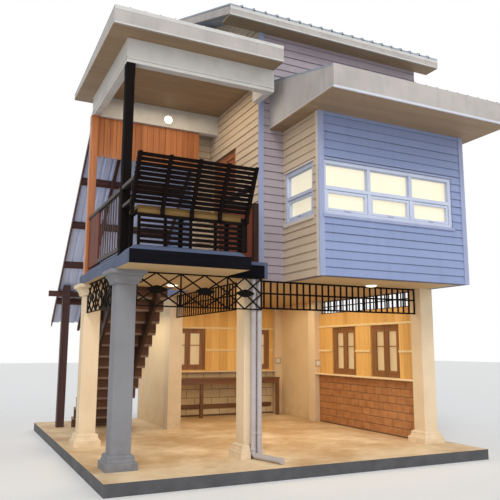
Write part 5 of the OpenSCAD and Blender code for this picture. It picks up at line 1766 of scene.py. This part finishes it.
    def build(self) -> None:
        """Makes the two walls' linings, the windows and the fittings."""
        shop, (back, side), (back_holes, side_holes) = self.shop, self.faces(), self.windows()
        side_y = (PLAN.column_w, PLAN.third_y)
        a, b = side.span(*side_y)
        back_boards = back.put(self.boarded(*self.back_x, PLAN.soffit, back_holes))
        side_boards = side.put(self.boarded(a, b, self.side_boards_top, side_holes))
        shop.piece("back_boards", back_boards, AMBER, "amber_boards")
        shop.piece("side_boards", side_boards, AMBER_SIDE_SHADED, "amber_boards")
        rails = Shape()
        for face, span, holes in ((back, self.back_x, back_holes), (side, (a, b), side_holes)):
            for z in self.rail_z:
                for x0, x1 in split_round(span, [(h.left, h.right) for h in holes if h.high > z]):
                    rails.join(face.put(bar((x0, z - 0.02, 0.010), (x1, z + 0.02, 0.030), Axis.X, 0.004)))
        shop.piece("wall_rails", rails, RAIL, "amber_boards")
        frames = Shape()
        for wall, at, holes in zip((Side.FRONT, Side.LEFT), self.casement_at, (back_holes, side_holes)):
            for h in holes:
                frames.join(Face(wall, at).put(self.casement(h)))
        shop.piece("ground_casements", frames, BROWN_Z, "brown_timber", "ground_window_frames")
        rear_face, right_face = Face(Side.BACK, PLAN.house_depth), Face(Side.RIGHT, PLAN.house_x)
        rear, rear_blocks = self.outside(rear_face, self.glass_in, back_holes, self.back_x, self.block)
        right, right_bricks = self.outside(right_face, self.glass_in, side_holes, side_y, self.brick)
        shop.piece("outer_casements", rear.join(right), BROWN_Z, "brown_timber")
        shop.piece("outer_blockwork", rear_blocks, MASONRY, "wall_plaster")
        shop.piece("outer_brickwork", right_bricks, BRICK, "wall_plaster")
        masonry_face, brick_face = Face(Side.FRONT, self.masonry_at[0]), Face(Side.LEFT, self.masonry_at[1])
        masonry = masonry_face.put(self.blocks(*self.back_x, PLAN.slab + 0.03, self.shelf_z, self.block))
        shop.piece("blockwork", masonry, MASONRY, "wall_plaster")
        bricks = brick_face.put(self.blocks(a, b, PLAN.slab + 0.02, self.masonry_top, self.brick))
        shop.piece("brickwork", bricks, BRICK, "wall_plaster")
        shop.piece("shelf_boards", self.shelf(), PLASTER, "wall_plaster", "sill_shelf")
        shop.piece("counter", self.counter(), BROWN_X, "brown_timber", "wall_counter")
        shop.dress(JOINT, "low_walls")
        shop.dress(PLASTER, "plaster_walls")
        shop.dress(AMBER, "board_walls")
        shop.dress(CASEMENT_GLASS, "ground_window_glass")
        shop.dress(SLAB, "ground_slab")


@dataclass
class Ironwork:
    """The lattice panels with their flat leaves, and the barred frieze over the ground room."""

    shop: Workshop
    long_bay: float = 0.69
    short_bay: float = 0.53
    leaf_l: float = 0.295
    leaf_h: float = 0.11
    leaf_t: float = 0.026
    bar_w: float = 0.026
    pitch: float = 0.112

    def leaf(self, length: float) -> np.ndarray:
        """A leaf's outline: at t from its middle, its half height is in proportion to 1 - t ** 1.6."""
        t = np.linspace(-1.0, 1.0, 13)
        half = self.leaf_h / 2 * (1.0 - np.abs(t) ** 1.6)
        upper = np.stack([t * length / 2, half], -1)
        lower = np.stack([t[1:-1][::-1] * length / 2, -half[1:-1][::-1]], -1)
        return np.concatenate([upper, lower])

    def leaves(self) -> Shape:
        """One leaf at the centre of each lattice bay, a little proud of the bars."""
        made = Shape()
        low, high = (np.array(c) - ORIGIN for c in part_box("front_lattice"))
        y, z = (low[1] + high[1]) / 2, (low[2] + high[2]) / 2
        ends = high[0] - np.cumsum([0.0, self.short_bay, self.long_bay, self.long_bay])
        for x in (ends[:-1] + ends[1:]) / 2:
            outline = self.leaf(self.leaf_l) + [x, z]
            made.join(carried(outline[:, ::-1], Axis.Y, y - self.leaf_t / 2, y + self.leaf_t / 2))
        low, high = (np.array(c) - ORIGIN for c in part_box("side_lattice"))
        x, step = (low[0] + high[0]) / 2, (high[1] - low[1]) / 3
        for i in range(3):
            outline = self.leaf(self.leaf_l * step / self.long_bay) + [low[1] + (i + 0.5) * step, z]
            made.join(carried(outline, Axis.X, x - self.leaf_t / 2, x + self.leaf_t / 2))
        return made

    def frieze(self) -> Shape:
        """Flat bars at equal steps between three rails."""
        low, high = (np.array(c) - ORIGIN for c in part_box("front_bar_frieze"))
        made, w, y0, y1 = Shape(), self.bar_w, low[1], high[1]
        count = round((high[0] - low[0] - w) / self.pitch)
        step = (high[0] - low[0] - w) / count
        rise = high[2] - low[2] - w
        for k in (0.0, 0.55, 1.0):
            z = low[2] + k * rise
            made.join(bar((low[0], y0 + 0.001, z), (high[0], y1 - 0.001, z + w), Axis.X, 0.002))
        for i in range(count + 1):
            x = low[0] + i * step
            made.join(bar((x, y0, low[2] + 0.001), (x + w, y1, high[2] - 0.001), Axis.Z, 0.002))
        return made

    def build(self) -> None:
        """Makes the leaves and the front frieze, and dresses the other panels."""
        self.shop.piece("lattice_leaves", self.leaves(), STEEL, "dark_steel")
        self.shop.piece("frieze_bars", self.frieze(), STEEL, "dark_steel", "front_bar_frieze")
        self.shop.dress(STEEL, "front_lattice", "side_lattice", "inner_bar_frieze", "side_bar_frieze")


def ribbed_sheet(x0: float, x1: float, low: Pair, high: Pair, lift: float, rib: float,
                 pitch: float, thick: float = 0.004, half: float = 0.02) -> Shape:
    """A ribbed sheet on a slope: its height over the slope is lift, plus rib on each rib's flat top.

    Args:
        x0: left edge.
        x1: right edge.
        low: y and z of the slope's lower edge.
        high: y and z of its upper edge.
        lift: height of the pans over the slope.
        rib: height of a rib.
        pitch: spacing of the ribs.
        thick: thickness of the sheet.
        half: half the width of a rib's foot.

    Returns:
        The closed shape, its outer face upwards.
    """
    count = max(2, 2 * round((x1 - x0) / (2 * pitch)))
    centres = x0 + np.arange(1, count) * (x1 - x0) / count
    xs = (centres[:, None] + np.array([-half, -half * 0.45, half * 0.45, half])[None]).ravel()
    up = np.tile([0.0, rib, rib, 0.0], count - 1)
    xs, up = np.concatenate([[x0], xs, [x1]]), np.concatenate([[0.0], up, [0.0]])
    if high[0] < low[0]:
        xs, up = xs[::-1], up[::-1]
    ends = np.array([low, high])
    x, y = np.broadcast_arrays(xs[:, None], ends[None, :, 0])
    outer = np.stack([x, y, ends[None, :, 1] + lift + up[:, None]], -1)
    return thick_surface(outer, outer - [0.0, 0.0, thick])


def tube(path: np.ndarray, radius: float, steps: int = 24) -> Shape:
    """A round rod along a path: each ring stands square to the path's direction there.

    Args:
        path: points of the centre line, one row each.
        radius: radius of the rod.
        steps: corners round one ring.

    Returns:
        The closed shape.
    """
    p = np.asarray(path, float)
    ahead = np.gradient(p, axis=0)
    ahead /= np.linalg.norm(ahead, axis=1)[:, None]
    helper = np.array([0.31, 0.73, 0.61]) / np.linalg.norm([0.31, 0.73, 0.61])
    side = np.cross(ahead, helper)
    side /= np.linalg.norm(side, axis=1)[:, None]
    other = np.cross(ahead, side)
    t = np.arange(steps) * 2 * math.pi / steps
    out = np.cos(t)[None, :, None] * side[:, None] + np.sin(t)[None, :, None] * other[:, None]
    return Shape().add(p[:, None] + radius * out, ring_faces(len(p), steps))


def turned_ring(profile: np.ndarray, centre: Sequence[float], steps: int = 40) -> Shape:
    """A closed ring about an upright axis: a closed outline of radius and height, turned right round.

    Corner (s, n) is at angle 2 pi s / steps, at outline[n]; the outline is counter-clockwise with
    the radius to the right and the height upwards.
    """
    p = np.asarray(profile, float)
    t = np.arange(steps) * 2 * math.pi / steps
    pts = np.stack([np.cos(t)[:, None] * p[:, 0], np.sin(t)[:, None] * p[:, 0],
                    np.broadcast_to(p[:, 1], (steps, len(p)))], -1) + np.asarray(centre, float)
    i, j = np.meshgrid(np.arange(steps), np.arange(len(p)), indexing="ij")
    n, m = (i + 1) % steps, (j + 1) % len(p)
    size = len(p)
    quads = np.stack([i * size + j, n * size + j, n * size + m, i * size + m], -1)
    return Shape().add(pts, quads.reshape(-1, 4).tolist())


@dataclass
class Roofs:
    """The three ribbed roofs with their ridge, trims and soffits."""

    shop: Workshop
    rib: float = 0.024
    pitch: float = 0.20
    depth: float = 0.028
    lift: float = 0.030
    main_x: Pair = (1.55, 5.65)
    deck_x: Pair = (-0.30, 2.20)
    box_x: Pair = (2.38, 5.60)
    box_foot: Pair = (-1.56, 5.35)
    box_slope: float = math.tan(math.radians(15.0))
    deck_head: Pair = (-0.54, 6.02)
    deck_slope: float = math.tan(math.radians(3.0))

    def sheet(self, span: Pair, low: Pair, high: Pair) -> Shape:
        """One ribbed sheet between its lower and its upper edge, each given by y and z."""
        return ribbed_sheet(*span, low, high, self.lift, self.rib, self.pitch, self.depth)

    def sheets(self) -> Shape:
        """Ribbed sheets on the two slopes of the main roof, the window box roof and the balcony roof."""
        p, mid = PLAN, PLAN.roof_mid_y
        ridge = (mid, p.roof_z(mid))
        made = self.sheet(self.main_x, (mid - p.roof_half, p.roof_base), ridge)
        made.join(self.sheet(self.main_x, (mid + p.roof_half, p.roof_base), ridge))
        y, z = self.box_foot
        rise = (p.front_wall_y - y) * self.box_slope
        made.join(self.sheet(self.box_x, self.box_foot, (p.front_wall_y, z + rise)))
        y, z = self.deck_head
        fall = (p.deck_back_y - y) * self.deck_slope
        made.join(self.sheet(self.deck_x, (p.deck_back_y, z - fall), self.deck_head))
        return made

    def ridge(self) -> Shape:
        """The ridge cap: an outline of two folded wings carried along x."""
        p, w, t = PLAN, 0.17, 0.004
        z = p.roof_z(p.roof_mid_y) + 0.046
        drop = w * p.roof_slope
        y = p.roof_mid_y
        wing = [[w, -drop], [w, -drop - 0.010], [w - t, -drop - 0.006]]
        other = [[-a, b] for a, b in wing]
        outline = np.array([*other, [0.0, -t], *wing[::-1], [0.0, 0.006]])
        return carried(outline + [y, z], Axis.X, self.main_x[0] + 0.002, self.main_x[1] - 0.002)

    def trims(self) -> Shape:
        """Beads along the tops and feet of the eaves boards."""
        made = Shape()
        rows = ((self.deck_x, -0.565, PLAN.deck_top, 6.05),
                (self.main_x, -0.07, PLAN.room_top, PLAN.roof_base))
        for (x0, x1), y, low, high in rows:
            made.join(bar((x0, y - 0.004, high - 0.055), (x1, y + 0.012, high), Axis.X, 0.003))
            made.join(bar((x0, y - 0.004, low), (x1, y + 0.012, low + 0.024), Axis.X, 0.003))
        return made

    def build(self) -> None:
        """Makes the sheets and trims, and dresses the eaves boards and soffits."""
        sheets = self.sheets()
        self.shop.piece("ribbed_roofs", sheets.join(self.ridge()), ROOF, "roof_metal", "roof_sheets",
                        "roof_ribs")
        self.shop.piece("eaves_trims", self.trims(), BEAM, "white_joinery")
        self.shop.dress(FASCIA, "roof_fascias")
        self.shop.dress(SOFFIT, "roof_soffits")


@dataclass
class Canopy:
    """The steep ribbed sheet over the stair, on its dark frame."""

    shop: Workshop
    x0: float = -0.03
    y0: float = 1.98
    run: float = 3.33
    top: float = 5.27
    pitch: float = 43.0

    def build(self) -> None:
        """Makes the sheet and dresses the frame."""
        fall = self.run * math.tan(math.radians(self.pitch))
        low, high = (self.y0 + self.run, self.top - fall), (self.y0, self.top)
        sheet = ribbed_sheet(self.x0, PLAN.mid_x, low, high, 0.005, 0.020, 0.165, 0.004, 0.026)
        self.shop.piece("canopy_ribs", sheet, CANOPY_SKY_TINTED, "canopy_metal", "canopy_sheet")
        self.shop.dress(PURLIN, "canopy_frame")
        self.shop.dress(CANOPY_POST, "canopy_post")


@dataclass
class Services:
    """Rain pipes, lights and switch plates."""

    shop: Workshop
    pipe_x: Pair = (1.974, 2.066)
    pipe_y: float = -0.046
    joint_z: float = 0.47
    clip_z: Pair = (0.95, 2.05)
    ceiling_lamps: tuple[Point, ...] = ((1.20, 1.30, PLAN.soffit), (4.01, -0.11, PLAN.soffit))
    wall_lamp: Point = (1.24, 1.86, 5.58)
    switches: tuple[Point, ...] = ((5.115, 5.10, 1.365), (5.12, 3.32, 1.348))
    radius: float = 0.038
    collar: float = 0.044
    bend: float = 0.0608
    turn: float = 75.0
    run: float = 0.52

    def pipes(self) -> Shape:
        """Two upright pipes; the left one bends and runs out along the floor before the other's foot."""
        (x0, x1), y, slab, top = self.pipe_x, self.pipe_y, PLAN.slab, PLAN.soffit
        made = tube(np.array([[x1, y, slab], [x1, y, slab + 1.2], [x1, y, top]]), self.radius)
        out = np.array([math.cos(math.radians(self.turn)), -math.sin(math.radians(self.turn)), 0.0])
        floor_z = slab + self.collar
        t = np.linspace(0.0, math.pi / 2, 11)
        centre = np.array([x0, y, floor_z + self.bend]) + out * self.bend
        up = np.array([0.0, 0.0, 1.0])
        elbow = centre - self.bend * (np.cos(t)[:, None] * out + np.sin(t)[:, None] * up)
        line = np.concatenate([[[x0, y, top], [x0, y, floor_z + self.bend + 0.02]], elbow,
                               [elbow[-1] + out * 0.02, elbow[-1] + out * self.run]])
        made.join(tube(line, self.radius))
        for x, z in ((x0, self.joint_z), (x1, self.joint_z), (x0, floor_z + self.bend - 0.002)):
            made.join(self.ring((x, y, z)))
        turn = np.column_stack([np.cross(up, out), up, out])
        made.join(self.ring((0.0, 0.0, 0.0)).moved(turn, elbow[-1] - out * 0.004))
        made.join(self.ring((0.0, 0.0, 0.0)).moved(turn, elbow[-1] + out * (self.run - 0.04)))
        return made

    def ring(self, at: Sequence[float]) -> Shape:
        """A collar 40 mm high round an upright pipe."""
        r0, r1 = self.radius - 0.003, self.collar
        rows = [(r0, 0.0), (r1 - 0.002, 0.0), (r1, 0.003), (r1, 0.036), (r1 - 0.002, 0.040), (r0, 0.040)]
        return turned_ring(np.array(rows), at, 28)

    def clips(self) -> Shape:
        """Clips that hold the pipes to the column."""
        made = Shape()
        r0, r1 = self.radius - 0.001, self.radius + 0.005
        band = np.array([(r0, 0.0), (r1, 0.0), (r1, 0.022), (r0, 0.022)])
        for x in self.pipe_x:
            for z in self.clip_z:
                made.join(turned_ring(band, (x, self.pipe_y, z), 28))
                made.join(bar((x - 0.012, -0.012, z + 0.002), (x + 0.012, 0.004, z + 0.020), Axis.X, 0.002))
        return made

    def lamp(self) -> tuple[Shape, Shape]:
        """A round ceiling lamp of radius one tenth, hanging from height nought: its bowl and its rim."""
        bowl = [(0.003, -0.034), (0.030, -0.034), (0.058, -0.031),
                (0.076, -0.025), (0.086, -0.014), (0.086, -0.004)]
        rim = [(0.084, -0.014), (0.092, -0.020), (0.100, -0.014), (0.100, 0.0), (0.084, 0.0)]
        return turned_round(np.array(bowl), (0, 0, 0), 40), turned_ring(np.array(rim), (0, 0, 0))

    def plates(self) -> Shape:
        """Switch plates on the two right-hand columns, each with two rockers."""
        made = Shape()
        for x, y, z in self.switches:
            face = Face(Side.FRONT, y)
            made.join(face.put(plate((x, z - 0.055, -0.001), (x + 0.11, z + 0.055, 0.010), 0.004)))
            for k in (0, 1):
                left = x + 0.014 + k * 0.043
                made.join(face.put(plate((left, z - 0.035, 0.008), (left + 0.037, z + 0.035, 0.014), 0.003)))
        return made

    def rims(self) -> Shape:
        """A brown surround behind each switch plate."""
        made = Shape()
        for x, y, z in self.switches:
            low, high = (x - 0.014, z - 0.069, -0.001), (x + 0.124, z + 0.069, 0.006)
            made.join(Face(Side.FRONT, y).put(plate(low, high, 0.003)))
        return made

    def build(self) -> None:
        """Makes the pipes, the lamps and the plates."""
        self.shop.piece("rain_pipes", self.pipes(), PIPE_SHADED, "white_pipe", "downpipes", smooth=True)
        self.shop.piece("pipe_clips", self.clips(), PIPE_SHADED, "white_pipe")
        bowl, rim = self.lamp()
        lit, rims = Shape(), Shape()
        upright = 0.8 * np.array([[1, 0, 0], [0, 0, 1], [0, -1, 0]], float)
        for at, turn in [(at, np.eye(3)) for at in self.ceiling_lamps] + [(self.wall_lamp, upright)]:
            lit.join(bowl.moved(turn, at))
            rims.join(rim.moved(turn, at))
        self.shop.piece("lamp_bowls", lit, LAMP, "lamp", "ceiling_lights", smooth=True)
        self.shop.piece("lamp_rims", rims, LAMP_RIM, "lamp")
        self.shop.piece("switch_plates", self.plates(), LAMP_RIM, "lamp")
        self.shop.piece("switch_rims", self.rims(), PLATE_RIM, "lamp")


def make_object(name: str, shape: Shape, material: bpy.types.Material,
                smooth: bool = False) -> bpy.types.Object:
    """Makes a mesh object at the origin from a shape.

    Args:
        name: the object's name.
        shape: its corners and faces.
        material: its finish.
        smooth: whether its faces are shaded smooth, where they meet at less than 40 degrees.

    Returns:
        The new object.
    """
    mesh = bpy.data.meshes.new(name)
    mesh.from_pydata(np.concatenate(shape.points).tolist(), [], shape.faces)
    mesh.update()
    mesh.materials.append(material)
    if smooth:
        mesh.polygons.foreach_set("use_smooth", [True] * len(mesh.polygons))
        mesh.set_sharp_from_angle(angle=math.radians(40.0))
    piece = bpy.data.objects.new(name, mesh)
    bpy.context.scene.collection.objects.link(piece)
    return piece


def main() -> None:
    """Builds the studio and every sub-assembly in order."""
    logging.basicConfig(level=logging.INFO, format="%(message)s")
    bpy.context.scene.view_settings.view_transform = "Standard"
    studio = Studio()
    studio.camera()
    studio.light()
    studio.air()
    studio.floor()
    shop = Workshop()
    boarding = Boarding(shop)
    Columns(shop).build()
    boarding.build()
    UpperWindows(shop).build(boarding)
    Bench(shop).build()
    Balcony(shop).build()
    Stair(shop).build()
    GroundRoom(shop).build()
    Ironwork(shop).build()
    Roofs(shop).build()
    Canopy(shop).build()
    Services(shop).build()


if __name__ == "__main__":
    main()
